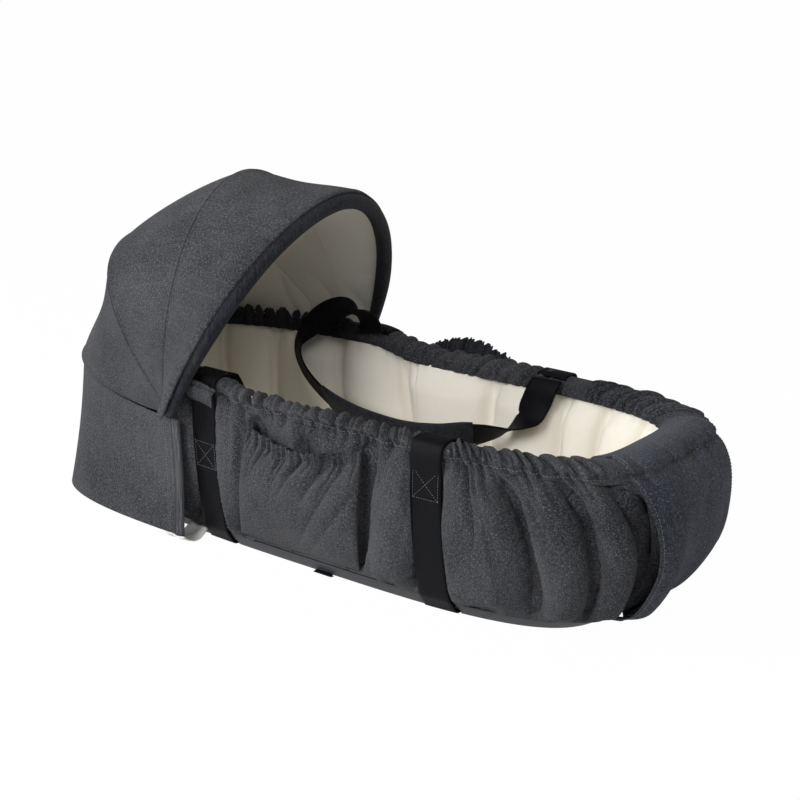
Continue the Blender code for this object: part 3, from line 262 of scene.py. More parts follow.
def plain(name, tone, rough, grain=700.0, depth=0.00008, variation=0.12, **fixed):
    net = Net(name)
    place = net.node("ShaderNodeTexCoord", output="Object")
    fine = net.noise(place, grain, 2.0)
    slow = net.noise(place, 22.0, 3.0)
    darker = tuple(c * (1 - variation * 2) for c in tone[:3]) + (1.0,)
    colour = net.blend(net.levels(fine * 0.4 + slow * 0.6, 0.3, 0.7), darker, tone)
    return net.finish(colour, slow * 0.12 + (rough - 0.06), net.bump(fine, depth, 0.6), **fixed)


COTTON = cotton("cream_cotton", (0.890, 0.845, 0.750, 1.0), (0.830, 0.775, 0.665, 1.0))
HOOD_COTTON = cotton("hood_cotton", (0.890, 0.862, 0.780, 1.0), (0.835, 0.805, 0.720, 1.0))
WEBBING = webbing("black_webbing", (0.0012, 0.0013, 0.0018, 1.0), (0.0070, 0.0073, 0.0098, 1.0))
BASE_CLOTH = plain("base_cloth", (0.026, 0.0275, 0.033, 1.0), 0.66, 1500.0, 0.00010)
THREAD = plain("grey_thread", (0.20, 0.20, 0.21, 1.0), 0.6, 4000.0)
BLACK_THREAD = plain("black_thread", (0.012, 0.012, 0.014, 1.0), 0.6, 4000.0)
STEEL = plain("spring_steel", (0.55, 0.56, 0.58, 1.0), 0.34, 900.0, 0.00002, 0.06, Metallic=1.0)
PLASTIC = plain("black_plastic", (0.020, 0.020, 0.022, 1.0), 0.50, 1200.0, 0.00004)
BOARD = plain("hardboard", (0.40, 0.29, 0.17, 1.0), 0.75, 500.0, 0.00010, 0.2)
PALE = plain("pale_tape", (0.80, 0.80, 0.78, 1.0), 0.80, 1400.0, 0.0001)
WADDING = plain("wadding", (0.80, 0.80, 0.78, 1.0), 0.95, 260.0, 0.0004)
ELASTIC = plain("elastic", (0.70, 0.68, 0.62, 1.0), 0.80, 1400.0, 0.0001)
print("finishes:", len(bpy.data.materials))

# %% [markdown]
# The nest stands in a white studio. A wide pale floor takes its soft shadow; to the camera the floor is pure white, as
# in the photograph. The key lamp stands high in front and a second lamp lower at the left. Two weak ones reach into
# the mouth of the hood and light the far rim from behind, and an even white sky fills the shadows.

# %% Studio
FLOOR_SIZE = 60.0
FLOOR_GREY = (0.86, 0.86, 0.86, 1.0)
FLOOR_GLOW = 0.985
SKY = 0.27
LAMPS = (
    ("key", (-0.05, -2.50, 1.60), (0.0, 0.0, 0.10), 1.2, 0.8, 47.0),
    ("left", (-2.0, -1.70, 1.05), (-0.05, 0.0, 0.12), 0.6, 0.6, 44.0),
    ("mouth", (1.2, -1.1, 1.6), (-0.20, 0.05, 0.12), 0.8, 0.8, 7.0),
    ("back", (0.9, 1.9, 1.9), (0.0, 0.0, 0.15), 1.6, 1.0, 7.0),
)


def lamp(name, place, aim, width, height, power):
    light = bpy.data.lights.new(name, "AREA")
    light.shape = "RECTANGLE"
    light.size = width
    light.size_y = height
    light.energy = power
    made = placed(name, light)
    made.location = place
    made.rotation_euler = (Vector(place) - Vector(aim)).to_track_quat("Z", "Y").to_euler()


def white_to_camera(name):
    """A pale floor that the camera, gloss and glass see as white, and that still takes the shadow."""
    net = Net(name)
    path = net.node("ShaderNodeLightPath", output="Is Camera Ray")
    glossy = net.node("ShaderNodeLightPath", output="Is Glossy Ray")
    clear = net.node("ShaderNodeLightPath", output="Is Transmission Ray")
    seen = path.maths("MAXIMUM", glossy).maths("MAXIMUM", clear)
    fine = net.noise(net.node("ShaderNodeTexCoord", output="Object"), 6.0)
    net.finish(FLOOR_GREY, fine * 0.05 + 0.9)
    glow = net.node("ShaderNodeEmission", {}, {"Color": (1, 1, 1, 1), "Strength": 1.0})
    both = net.node("ShaderNodeMixShader", {}, {0: seen * FLOOR_GLOW, 1: Wire(net, net.shader.outputs[0]), 2: glow})
    net.feed(net.tree.nodes["Material Output"].inputs["Surface"], both)
    return net.material


def studio():
    bpy.ops.mesh.primitive_plane_add(size=FLOOR_SIZE, location=(0, 0, 0))
    floor = bpy.context.object
    floor.name = "studio_floor"
    floor.data.materials.append(white_to_camera("studio_white"))
    world = bpy.data.worlds.new("studio_sky")
    bpy.context.scene.world = world
    world.use_nodes = True
    sky = world.node_tree.nodes["Background"]
    sky.inputs["Color"].default_value = (1.0, 1.0, 1.0, 1.0)
    sky.inputs["Strength"].default_value = SKY
    for settings in LAMPS:
        lamp(*settings)


studio()

# %% [markdown]
# From above, the nest is a rounded oblong at every height: narrow at the base, wider at its belly, and a little tighter
# at the rim. One formula gives all these outlines. A distance along the wall, measured from the middle of the foot
# end, says where something is sewn: minus on the near side and plus on the far side.

# %% Outlines of the nest
HEAD_ROUNDING = 0.78
BASE = (-0.350, 0.3495, 0.1252, 3.7)
RIM = (-0.362, 0.379, 0.1407, 4.2)
WALL_TOP = 0.184
BAND_HEIGHT = 0.016
BAND_FLARE = 0.0103
BAND_FLARE_FOOT = 0.020
BELLY_RISE = 0.68
BELLY_FALL = 0.32
BELLY_OUT = (0.007, 0.054, 0.0125)
FOOT_LEG_X = 0.203
HEAD_LEG_X = -0.112
SIDES = (("near", -1.0), ("far", 1.0))


def signed_power(value, power):
    return np.sign(value) * np.abs(value) ** power


def mix(a, b, part):
    return a + (b - a) * part


def ease(low, high, value):
    part = np.clip((np.asarray(value, float) - low) / (high - low), 0, 1)
    return part * part * (3 - 2 * part)


def hump(share):
    """0 at both ends and 1 in the middle."""
    return np.sin(math.pi * share)


def shares(columns, rows):
    """Shares from 0 to 1 along the columns and up the rows of a grid."""
    return np.linspace(0, 1, columns)[None, :], np.linspace(0, 1, rows)[:, None]


def unit(rows):
    """Each row at length one."""
    return rows / np.linalg.norm(rows, axis=-1, keepdims=True)


def running(lengths):
    """How far along each point lies, from the lengths between the points."""
    return np.concatenate([[0], np.cumsum(lengths)])


def turns(count):
    """That many even angles round a full turn."""
    return np.linspace(0, 2 * math.pi, count, endpoint=False)


def outline(shape, t):
    """Points of a rounded oblong: head x, foot x, half width and squareness."""
    head, foot, half, square = shape
    c, s = np.cos(t), np.sin(t)
    power = 2 / (square * np.where(c < 0, HEAD_ROUNDING, 1.0))
    return (head + foot) / 2 + (foot - head) / 2 * signed_power(c, power), half * signed_power(s, power)


def band_shape(z):
    part = np.asarray(z, float) / BAND_HEIGHT
    head, foot, half, square = BASE
    return head - BAND_FLARE * part, foot + BAND_FLARE_FOOT * part, half + BAND_FLARE * part, square + 0.0 * part


def belly(part):
    """How far the wall stands out, 0 to 1, at a share of its height."""
    fall = np.maximum(0.0, (part - BELLY_RISE) / BELLY_FALL)
    rise = np.sin(np.minimum(1.0, part / BELLY_RISE) * math.pi / 2) ** 0.75
    return rise * np.sqrt(np.maximum(0.0, 1 - 0.80 * fall ** 2.2))


def wall_shape(z):
    part = np.clip((np.asarray(z, float) - BAND_HEIGHT) / (WALL_TOP - BAND_HEIGHT), 0, 1)
    out = belly(part)
    low = band_shape(BAND_HEIGHT)
    return (
        mix(low[0], RIM[0], part) - BELLY_OUT[0] * out,
        mix(low[1], RIM[1], part) + BELLY_OUT[1] * out + 0.006,
        mix(low[2], RIM[2], part) + BELLY_OUT[2] * out + 0.0006,
        mix(BASE[3], RIM[3], part) - 0.5 * out,
    )


def inner_shape(z):
    part = np.clip(np.asarray(z, float) / WALL_TOP, 0, 1)
    return (
        -0.326 - 0.0105 * part ** 2,
        0.343 + 0.021 * part ** 2,
        mix(0.1150, 0.1265, part ** 2),
        mix(BASE[3], RIM[3], part),
    )


def grow(shape, amount):
    head, foot, half, square = shape
    return head - amount, foot + amount, half + amount, square


FINE = np.linspace(0, 2 * math.pi, 8001)
_round_x, _round_y = outline(wall_shape(0.1), FINE)
RUN = running(np.hypot(np.diff(_round_x), np.diff(_round_y)))
GIRTH = float(RUN[-1])


def t_at(distance):
    """Outline parameter at signed distances along the wall from the foot end."""
    return np.interp(np.mod(distance, GIRTH), RUN, FINE)


def from_strap(x):
    """Distance along X from the middle of the nearer strap."""
    return np.minimum(np.abs(x - FOOT_LEG_X), np.abs(x - HEAD_LEG_X))


def half_width(shape, x):
    """Half width of a rounded oblong at x."""
    head, foot, half, square = shape
    middle, reach = (head + foot) / 2, (foot - head) / 2
    square = square * np.where(x < middle, HEAD_ROUNDING, 1.0)
    return half * np.maximum(0.0, 1 - np.minimum(1.0, np.abs((x - middle) / reach)) ** square) ** (1 / square)


print("girth of the wall:", round(GIRTH, 3), "m")

# %% [markdown]
# Every cloth piece is a grid of points: rows up the cloth and columns along it. The helpers here turn a grid into a
# mesh with a back side and closed edges, lay out a UV map in metres, and smooth a grid to twice its points.

# %% From grids to cloth
def normals_of(grid, closed=False):
    """Unit normals of a grid, rows by columns."""
    if closed:
        along = np.roll(grid, -1, 1) - np.roll(grid, 1, 1)
    else:
        along = np.gradient(grid, axis=1)
    up = np.gradient(grid, axis=0)
    n = np.cross(along, up)
    return n / np.maximum(np.linalg.norm(n, axis=2, keepdims=True), 1e-12)


def finer(grid):
    """Twice as many rows and columns of a ring, as a cubic spline surface."""
    def doubled(g, wrap):
        if wrap:
            before, after = np.roll(g, 1, 0), np.roll(g, -1, 0)
            out = np.empty((2 * len(g),) + g.shape[1:])
            out[0::2] = (before + 6 * g + after) / 8
            out[1::2] = (g + after) / 2
            return out
        out = np.empty((2 * len(g) - 1,) + g.shape[1:])
        out[0::2] = g
        out[2:-2:2] = (g[:-2] + 6 * g[1:-1] + g[2:]) / 8
        out[1::2] = (g[:-1] + g[1:]) / 2
        return out
    return doubled(doubled(grid, False).swapaxes(0, 1), True).swapaxes(0, 1)


def threads_map(grid, closed):
    """UV in metres: u along the mean row and v up the cloth."""
    wrapped = np.concatenate([grid, grid[:, :1]], 1) if closed else grid
    u = running(np.linalg.norm(np.diff(wrapped, axis=1), axis=2).mean(0))
    v = running(np.linalg.norm(np.diff(grid, axis=0), axis=2).mean(1))
    return np.stack(np.meshgrid(u, v), -1)


def piece(name, points, faces, corners, finish):
    """A smooth mesh object at the origin, with its UV corners."""
    mesh = bpy.data.meshes.new(name)
    mesh.from_pydata(points.tolist(), [], faces)
    layer = mesh.uv_layers.new(name="threads")
    layer.data.foreach_set("uv", corners.reshape(-1).astype(np.float32))
    mesh.polygons.foreach_set("use_smooth", [True] * len(mesh.polygons))
    mesh.materials.append(finish)
    return placed(name, mesh)


def quads_of(rows, columns, closed):
    """Corner numbers of every cell of a grid, with its row and its column."""
    span = columns if closed else columns - 1
    r, c = np.meshgrid(np.arange(rows - 1), np.arange(span), indexing="ij")
    n = (c + 1) % columns
    cells = np.stack([r * columns + c, r * columns + n, (r + 1) * columns + n, (r + 1) * columns + c], -1)
    return cells.reshape(-1, 4), r, c


def turned_out(points, faces, corners):
    """Turn all faces round if the closed mesh is inside out."""
    a, b, c, d = (points[faces[:, k]] for k in range(4))
    volume = (a * np.cross(b, c)).sum() + (a * np.cross(c, d)).sum()
    return (faces, corners) if volume > 0 else (faces[:, ::-1], corners[:, ::-1])


def cloth(name, grid, finish, thickness=0.0016, closed=False, outward=1.0, back=None):
    """A closed sheet: the grid is its face, and the back lies thickness behind it, or on a grid of its own."""
    rows, columns = grid.shape[:2]
    behind = grid - normals_of(grid, closed) * thickness * outward if back is None else back
    points = np.concatenate([grid.reshape(-1, 3), behind.reshape(-1, 3)])
    uv = threads_map(grid, closed)
    face, r, c = quads_of(rows, columns, closed)
    square = np.stack([uv[r, c], uv[r, c + 1], uv[r + 1, c + 1], uv[r + 1, c]], -2).reshape(-1, 4, 2)
    far = rows * columns
    faces, corners = [face, face[:, ::-1] + far], [square, square[:, ::-1]]
    edges = [(uv[row], row * columns + np.arange(columns), sign) for row, sign in ((0, 1), (rows - 1, -1))]
    if not closed:
        edges += [(uv[:, col], np.arange(rows) * columns + col, sign) for col, sign in ((0, -1), (columns - 1, 1))]
    for tex, line, sign in edges:
        ring = closed and line[1] == line[0] + 1
        ahead = np.roll(line, -1) if ring else line[1:]
        here = line if ring else line[:-1]
        quad = np.stack([ahead, here, here + far, ahead + far], -1)
        strip = np.stack([tex[1:], tex[:-1], tex[:-1], tex[1:]], -2)
        faces.append(quad[:, ::sign])
        corners.append(strip[:, ::sign])
    faces, corners = turned_out(points, np.concatenate(faces), np.concatenate(corners))
    return piece(name, points, faces.tolist(), corners, finish)


def points_of(made):
    """The vertices of a piece, one to a row."""
    found = np.empty(len(made.data.vertices) * 3)
    made.data.vertices.foreach_get("co", found)
    return found.reshape(-1, 3)


def area_of(grid, closed=False):
    wrapped = np.concatenate([grid, grid[:, :1]], 1) if closed else grid
    a, b, c, d = wrapped[:-1, :-1], wrapped[:-1, 1:], wrapped[1:, 1:], wrapped[1:, :-1]
    return float((np.linalg.norm(np.cross(c - a, d - b), axis=2) / 2).sum())


print("grid helpers ready")

# %% [markdown]
# Padding pushes its cover out, and a cover that is cut wider than its seam puckers there. Blender's Cloth does both: a
# little pressure blows the layer out, and a Shrinking Factor below zero gives it spare fabric. The seams and stitches
# are held still by a pin group. Its points are read back, and none may have gone further than the padding would let
# it.

# %% Letting a layer settle
FRAMES = 16
PIN_STEPS = 50
UNEVEN = 0.00012


def pin_groups(layer, **shares):
    """One vertex group for each share, in steps."""
    for name, share in shares.items():
        group = layer.vertex_groups.new(name=name)
        steps = np.round(share.reshape(-1) * PIN_STEPS).astype(int)
        for step in np.unique(steps):
            if step > 0:
                group.add(np.flatnonzero(steps == step).tolist(), step / PIN_STEPS, "REPLACE")


def settle(grid, held, spare, most, swell, outward, seed):
    """Cloth simulation of one ring. held is 0 to 1, spare is the extra share of fabric at each point."""
    faces = quads_of(*grid.shape[:2], True)[0]
    rough = np.random.default_rng(seed).normal(0, UNEVEN, grid.shape) * (1 - held)[..., None]
    mesh = bpy.data.meshes.new("settling")
    mesh.from_pydata((grid + rough).reshape(-1, 3).tolist(), [], (faces if outward > 0 else faces[:, ::-1]).tolist())
    layer = placed("settling", mesh)
    pin_groups(layer, held=held, spare=spare / max(spare.max(), 1e-6))
    cloth_layer = layer.modifiers.new("cloth", "CLOTH")
    fabric = cloth_layer.settings
    fabric.quality = 4
    fabric.mass = 0.15
    fabric.tension_stiffness = fabric.compression_stiffness = 14.0
    fabric.shear_stiffness = 6.0
    fabric.bending_stiffness = 0.01
    fabric.air_damping = 2.0
    fabric.use_pressure = True
    fabric.uniform_pressure_force = swell
    fabric.vertex_group_mass = "held"
    fabric.vertex_group_shrink = "spare"
    fabric.shrink_min = 0.0
    fabric.shrink_max = -float(spare.max())
    fabric.effector_weights.gravity = 0.0
    cloth_layer.point_cache.frame_end = FRAMES
    for frame_number in range(1, FRAMES + 1):
        bpy.context.scene.frame_set(frame_number)
    shown = layer.evaluated_get(bpy.context.evaluated_depsgraph_get())
    moved = points_of(shown).reshape(grid.shape) - grid
    bpy.data.objects.remove(layer)
    bpy.data.meshes.remove(mesh)
    bpy.context.scene.frame_set(1)
    far = np.linalg.norm(moved, axis=2, keepdims=True)
    return grid + moved * np.minimum(1.0, most / np.maximum(far, 1e-9))


print("simulation is", "full")

# %% [markdown]
# The outer wall is one long ring of denim. It is padded, divided by seams that lean towards the foot end, and gathered
# at the base and under the rim. The columns of the grid follow the seams, so that a seam is one column that is held
# down in the padding. The rows run from the base band up to the rim, where those of the casing begin.

# %% Seams of the wall
SEAMS = (
    (0.000, 0.000),
    (0.098, 0.060),
    (0.163, 0.107),
    (0.236, 0.168),
    (0.3148, 0.3148),
    (0.404, 0.399),
    (0.472, 0.480),
    (0.538, 0.563),
    (0.617, 0.641),
    (0.722, 0.735),
    (0.822, 0.828),
    (0.914, 0.916),
)
SEAM_TOP = 0.175
SEAM_LOW = 0.030


def seams_at(z):
    """Distances of all seams round the wall at one height, both sides, from -half to +half of the girth."""
    part = (z - SEAM_LOW) / (SEAM_TOP - SEAM_LOW)
    side = np.array([mix(low, top, part) for top, low in SEAMS])
    return np.concatenate([-side[:0:-1], side])


def wall_columns(pitch):
    """Column places at middle height, with a column on every seam, and the numbers of the seam columns."""
    places = seams_at((SEAM_TOP + SEAM_LOW) / 2)
    ends = np.append(places, places[0] + GIRTH)
    counts = [max(4, round((b - a) / pitch)) for a, b in zip(ends, ends[1:])]
    columns = np.concatenate([np.linspace(a, b, n, endpoint=False) for a, b, n in zip(ends, ends[1:], counts)])
    return columns, running(counts)[:-1]


def follow_seams(columns, z):
    """The same columns at another height, where the seams lie elsewhere."""
    middle = seams_at((SEAM_TOP + SEAM_LOW) / 2)
    here = seams_at(np.clip(z, SEAM_LOW - 0.02, SEAM_TOP + 0.01))
    middle = np.append(middle, middle[0] + GIRTH)
    here = np.append(here, here[0] + GIRTH)
    return np.interp(columns, middle, here)


print("seams on the wall:", 2 * len(SEAMS) - 1)

# %% Shape of the wall before it settles
PROFILE = (
    (0.0, -0.0042, 0.0172),
    (0.0, 0.0000, 0.0200),
    (0.0, 0.0010, 0.0300),
    (0.0, 0.0010, 0.0500),
    (0.0, 0.0010, 0.0800),
    (0.0, 0.0010, 0.1100),
    (0.0, 0.0010, 0.1400),
    (0.0, 0.0008, 0.1600),
    (0.0, 0.0004, 0.1740),
    (0.0, 0.0000, 0.1805),
)
RIM_PROFILE = (
    (0.0, 0.0002, 0.1790),
    (0.0, 0.0000, 0.1808),
    (0.0, 0.0016, 0.1832),
    (0.0, 0.0034, 0.1868),
    (0.04, 0.0030, 0.1908),
    (0.20, 0.0012, 0.1940),
    (0.40, 0.0, 0.1954),
    (0.60, 0.0, 0.1952),
    (0.80, 0.0012, 0.1934),
    (0.96, 0.0036, 0.1900),
    (1.0, 0.0056, 0.1860),
    (1.0, 0.0062, 0.1815),
    (1.0, 0.0056, 0.1760),
)


def profile_rows(profile, pitch):
    """Rows spaced evenly along the profile: share over the rim, how far out, height, and place along it."""
    knots = np.array(profile)
    reach = np.array([mix(wall_shape(z)[2], inner_shape(min(z, WALL_TOP))[2], w) for w, _, z in profile])
    out = reach + knots[:, 1] * np.where(knots[:, 0] > 0.5, -1, 1)
    run = running(np.hypot(np.diff(out), np.diff(knots[:, 2])))
    rows = np.linspace(0, run[-1], round(run[-1] / pitch) + 1)
    return np.stack([np.interp(rows, run, knots[:, k]) for k in range(3)], 1), rows


def row_shape(over, out, z):
    """Outline of one row: the outside of the wall, the inside, or a share between them on top of the rim."""
    outside = wall_shape(min(z, WALL_TOP)) if z > BAND_HEIGHT else band_shape(z)
    inside = inner_shape(min(z, WALL_TOP))
    return tuple(mix(a, b, over) for a, b in zip(grow(outside, out), grow(inside, -out)))


def ring_rows(rows, columns):
    grid = np.empty((len(rows), len(columns), 3))
    for number, (over, out, z) in enumerate(rows):
        t = t_at(follow_seams(columns, z))
        grid[number, :, 0], grid[number, :, 1] = outline(row_shape(over, out, z), t)
        grid[number, :, 2] = z
    return grid


WALL_ROWS, _ = profile_rows(PROFILE, 0.0060)
WALL_COLUMNS, WALL_SEAMS = wall_columns(0.0050)
WALL_START = ring_rows(WALL_ROWS, WALL_COLUMNS)
print("wall grid:", WALL_START.shape[:2], "seam columns:", len(WALL_SEAMS))

# %% Gathers
def gathers(along, length, seed, sharp=0.8, ring=True):
    """Uneven folds along a line in metres: rounded crests and narrow valleys, from about -0.6 to 0.6."""
    rng = np.random.default_rng(seed)
    total = GIRTH if ring else float(np.max(along))
    count = max(3, int(total / length))
    knots = running(rng.uniform(0.55, 1.5, count))
    knots *= total / knots[-1]
    height = rng.uniform(0.35, 1.15, count + 1)
    height[-1] = height[0]
    phase = np.interp(np.mod(along, total) if ring else along, knots, np.arange(count + 1))
    return (np.abs(np.sin(math.pi * phase)) ** sharp - 0.62) * np.interp(phase, np.arange(count + 1), height)


def creases(place, down, pitch, seed, deep, wide, long, lean=(-0.15, 0.25)):
    """Creases that start at a line of stitching: narrow valleys that lean, widen and die away down the cloth."""
    rng = np.random.default_rng(seed)
    total = 0.0 * (place + down)
    here = 0.0
    while here < GIRTH:
        here += pitch * rng.uniform(0.40, 1.75)
        length, depth = long * rng.uniform(0.35, 1.55), deep * rng.uniform(0.35, 1.25)
        width, drift = wide * rng.uniform(0.7, 1.5), rng.uniform(*lean)
        part = np.clip(down / length, 0, 1)
        off = np.abs((place - here + drift * down + GIRTH / 2) % GIRTH - GIRTH / 2)
        total = total - depth * (1 - part) ** 1.2 * np.exp(-off / (width * (1 + 1.4 * part)))
    return total


print("a gather of 10 mm, in mm:", np.round(gathers(np.arange(0, 0.03, 0.003), 0.010, 1) * 3, 1).tolist())

# %% Room for the wall under straps, pockets and foot cover
CAP_EDGE_LOW = 0.056
CAP_EDGE_TOP = 0.084
POCKET_HEAD_X = -0.050
POCKET_FOOT_X = 0.122
FREE_ROOM = 0.0105
STRAP_ROOM = -0.0007
POCKET_ROOM = 0.0006
COVER_ROOM = -0.0006


def pushed_in(grid, smooth, room):
    """Hold a settled layer back wherever it stands further out from the smooth shape than it has room."""
    n = normals_of(smooth, True)
    out = ((grid - smooth) * n).sum(2)
    return grid - n * np.maximum(0.0, out - room)[..., None]


def along_wall(columns):
    return np.minimum(np.mod(columns, GIRTH), GIRTH - np.mod(columns, GIRTH))


def room_round(columns, grid):
    """How far the wall may stand out: nearly nothing under a strap, a pocket or the foot cover."""
    x, z = grid[..., 0], grid[..., 2]
    room = np.minimum(FREE_ROOM, STRAP_ROOM + np.maximum(0.0, from_strap(x) - 0.0200) * 1.5)
    beside = np.maximum(np.maximum(POCKET_HEAD_X - 0.004 - x, x - POCKET_FOOT_X - 0.004), 0.0)
    beside = np.maximum(beside, np.maximum(z - 0.170, 0.0))
    room = np.minimum(room, POCKET_ROOM + beside * 1.3)
    edge = mix(CAP_EDGE_LOW, CAP_EDGE_TOP, np.clip(z / 0.185, 0, 1))
    under = np.maximum(0.0, along_wall(columns)[None, :] - edge + 0.004)
    return np.minimum(room, COVER_ROOM + under * 1.2)


# %% The wall settles
STITCH_LINE = 0.1795
HEAD_RISE = 0.0125
SEAM_DRAW = 0.0165
WALL_DEPTH = 0.0125
WALL_DEPTH_MORE = 0.0065
LEAST_PADDING = 0.0030
SPARE_HEIGHTS = (0.017, 0.03, 0.06, 0.12, 0.15, 0.18)
SPARE_CLOTH = (0.14, 0.10, 0.06, 0.06, 0.10, 0.16)


def settle_wall():
    """The layer starts drawn in at its seams, and the pressure of the padding blows it out between them."""
    z = WALL_ROWS[:, 2]
    places = np.arange(len(WALL_COLUMNS))
    ends = np.append(WALL_SEAMS, len(WALL_COLUMNS))
    share = np.interp(places, ends, np.arange(len(ends)))
    valley = 1 - np.abs(hump(share)) ** 0.6
    window = ease(0.018, 0.034, z) * (1 - ease(0.155, 0.179, z))
    start = WALL_START - normals_of(WALL_START, True) * (SEAM_DRAW * window[:, None] * valley[None, :])[..., None]
    held = np.zeros(start.shape[:2])
    held[0], held[-1] = 1.0, 1.0
    held[np.ix_((z > 0.026) & (z < 0.156), WALL_SEAMS)] = 1.0
    spare = np.repeat(np.interp(z, SPARE_HEIGHTS, SPARE_CLOTH)[:, None], start.shape[1], 1)
    return settle(start, held, spare, most=0.012, swell=48.0, outward=1.0, seed=4)


def doubled_columns(columns):
    ends = np.append(columns, columns[0] + GIRTH)
    out = np.empty(2 * len(columns))
    out[0::2], out[1::2] = columns, (ends[:-1] + ends[1:]) / 2
    return out


def rim_pull(place, down):
    """The creases that both the wall and the rim casing have where they are stitched together."""
    return creases(place, down, pitch=0.0135, seed=31, deep=0.0078, wide=0.0028, long=0.052)


def gather_wall(grid, columns):
    """Folds that hang from the rim's stitching, puckers above the base, and small pulls beside the seams."""
    z, place, way = grid[..., 2], columns[None, :], along_wall(columns)[None, :]
    run = place + (0.18 - z) * 0.10
    under_cap = ease(CAP_EDGE_LOW, CAP_EDGE_TOP + 0.02, way)
    down, up = np.maximum(0.0, STITCH_LINE - z), np.maximum(0.0, z - 0.0195)
    top = rim_pull(place, down)
    middle = creases(place, down, pitch=0.052, seed=33, deep=0.0120, wide=0.0060, long=0.110, lean=(-0.45, 0.10))
    low = creases(place, up, pitch=0.017, seed=35, deep=0.0042, wide=0.0030, long=0.026, lean=(-0.3, 0.3))
    low = low * ease(0.0172, 0.0215, z)
    slow = np.sin(z * 62 + 7 * gathers(place, 0.12, 37)) * 0.0010
    slow = slow + gathers(run, 0.050, 47) * 0.0022 * ease(0.03, 0.08, z)
    seam = np.min(np.abs(columns[:, None] - np.append(WALL_COLUMNS[WALL_SEAMS], GIRTH + WALL_COLUMNS[0])), 1)[None, :]
    inner = ease(0.018, 0.036, z) * (1 - ease(0.158, 0.180, z))
    seams = (-0.0130 * np.exp(-seam / 0.0060) - 0.0085 * np.exp(-seam / 0.018) + 0.0092 * under_cap) * inner
    beside = np.exp(-seam / 0.013) * ease(0.0, 0.004, seam)
    pulls = beside * np.sin(2 * math.pi * (z / 0.0165 + seam * 34) + gathers(place, 0.05, 39) * 6) * 0.0014
    cover = mix(CAP_EDGE_LOW, CAP_EDGE_TOP, np.clip(z / WALL_TOP, 0, 1)) + 0.006
    seams = seams - 0.0100 * np.exp(-np.abs(way - cover) / 0.007) * inner
    amount = (top + middle + low + slow + pulls * ease(0.03, 0.05, z) + 0.0015) * under_cap + seams
    return grid + normals_of(grid, True) * amount[..., None]


def head_rise(grid):
    """The rim climbs a little towards the head end, and the upper part of wall and lining goes with it."""
    x, y, z = grid[..., 0], grid[..., 1], grid[..., 2]
    first, last = np.where(y < 0, -0.052, -0.015), np.where(y < 0, -0.108, -0.090)
    share = np.clip((first - x) / (first - last), 0, 1)
    share = share * share * (3 - 2 * share) * ease(0.120, 0.180, z)
    return np.stack([x, y, z + HEAD_RISE * share], -1)


def kept_out(grid, smooth, depth, way=1.0):
    """Hold a layer up wherever a fold would go deeper than its padding."""
    n = normals_of(smooth, True) * way
    out = ((grid - smooth) * n).sum(2)
    return grid + n * np.maximum(0.0, -depth - out)[..., None]


def wall_back(z):
    """How deep the back of the denim wall lies behind its crowns."""
    return WALL_DEPTH + WALL_DEPTH_MORE * ease(0.020, 0.050, z) * (1 - ease(0.130, 0.168, z))


WALL_FINE = doubled_columns(WALL_COLUMNS)
WALL_SMOOTH = finer(WALL_START)
WALL = gather_wall(finer(settle_wall()), WALL_FINE)
WALL = pushed_in(WALL, WALL_SMOOTH, room_round(WALL_FINE, WALL_SMOOTH))
DEEP = wall_back(WALL_SMOOTH[..., 2])
WALL = head_rise(kept_out(WALL, WALL_SMOOTH, DEEP - LEAST_PADDING))
WALL_BACK = head_rise(WALL_SMOOTH - normals_of(WALL_SMOOTH, True) * DEEP[..., None])
wall = cloth("padded_wall", WALL, DENIM, closed=True, back=WALL_BACK)
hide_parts("outer_wall")
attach(wall, "nest")
print("wall:", len(wall.data.polygons), "faces")

# %% [markdown]
# Round the rim runs a casing with elastic in it. The cloth of a casing is far longer than the rim, so it stands in
# small sharp ruffles. It is the wall's denim; at the head end, under the hood, its inner half is painted darker as
# shade.

# %% Gathered rim
RIM_PITCH = 0.00145


def rim_grid():
    rows, run = profile_rows(RIM_PROFILE, 0.0017)
    columns, _ = wall_columns(RIM_PITCH)
    place, way = columns[None, :], along_wall(columns)[None, :]
    grid = ring_rows(rows, columns)
    side = run[:, None] / run[-1]
    free = ease(0.0, 0.22, side) * (1 - 0.6 * ease(0.88, 1.0, side))
    under_cap = 0.12 + 0.88 * ease(CAP_EDGE_TOP - 0.004, CAP_EDGE_TOP + 0.008, way)
    under_strap = ease(0.018, 0.026, from_strap(grid[..., 0]))
    drift = hump(side) * (0.004 + 0.008 * gathers(place, 0.060, 57))
    main = gathers(place + drift, 0.0170, 41, 0.7) * (0.0082 + 0.0050 * gathers(place, 0.075, 59))
    fine = gathers(place - drift * 1.4 + side * 0.005, 0.0082, 43) * 0.0030
    narrow = creases(place + drift, 0.0 * side, pitch=0.021, seed=49, deep=0.0052, wide=0.0016, long=1.0)
    pull = rim_pull(place, 0.0 * side) * (1 - ease(0.0, 0.30, side))
    amount = ((main + fine + narrow) * free + pull) * under_cap * under_strap - 0.0006 * (1 - under_strap) * free
    moved = grid + normals_of(grid, True) * amount[..., None]
    tilt = gathers(place, 0.027, 45) * 0.0044 * free * under_cap * under_strap
    moved[..., 2] += tilt * hump(side)
    return moved, rows


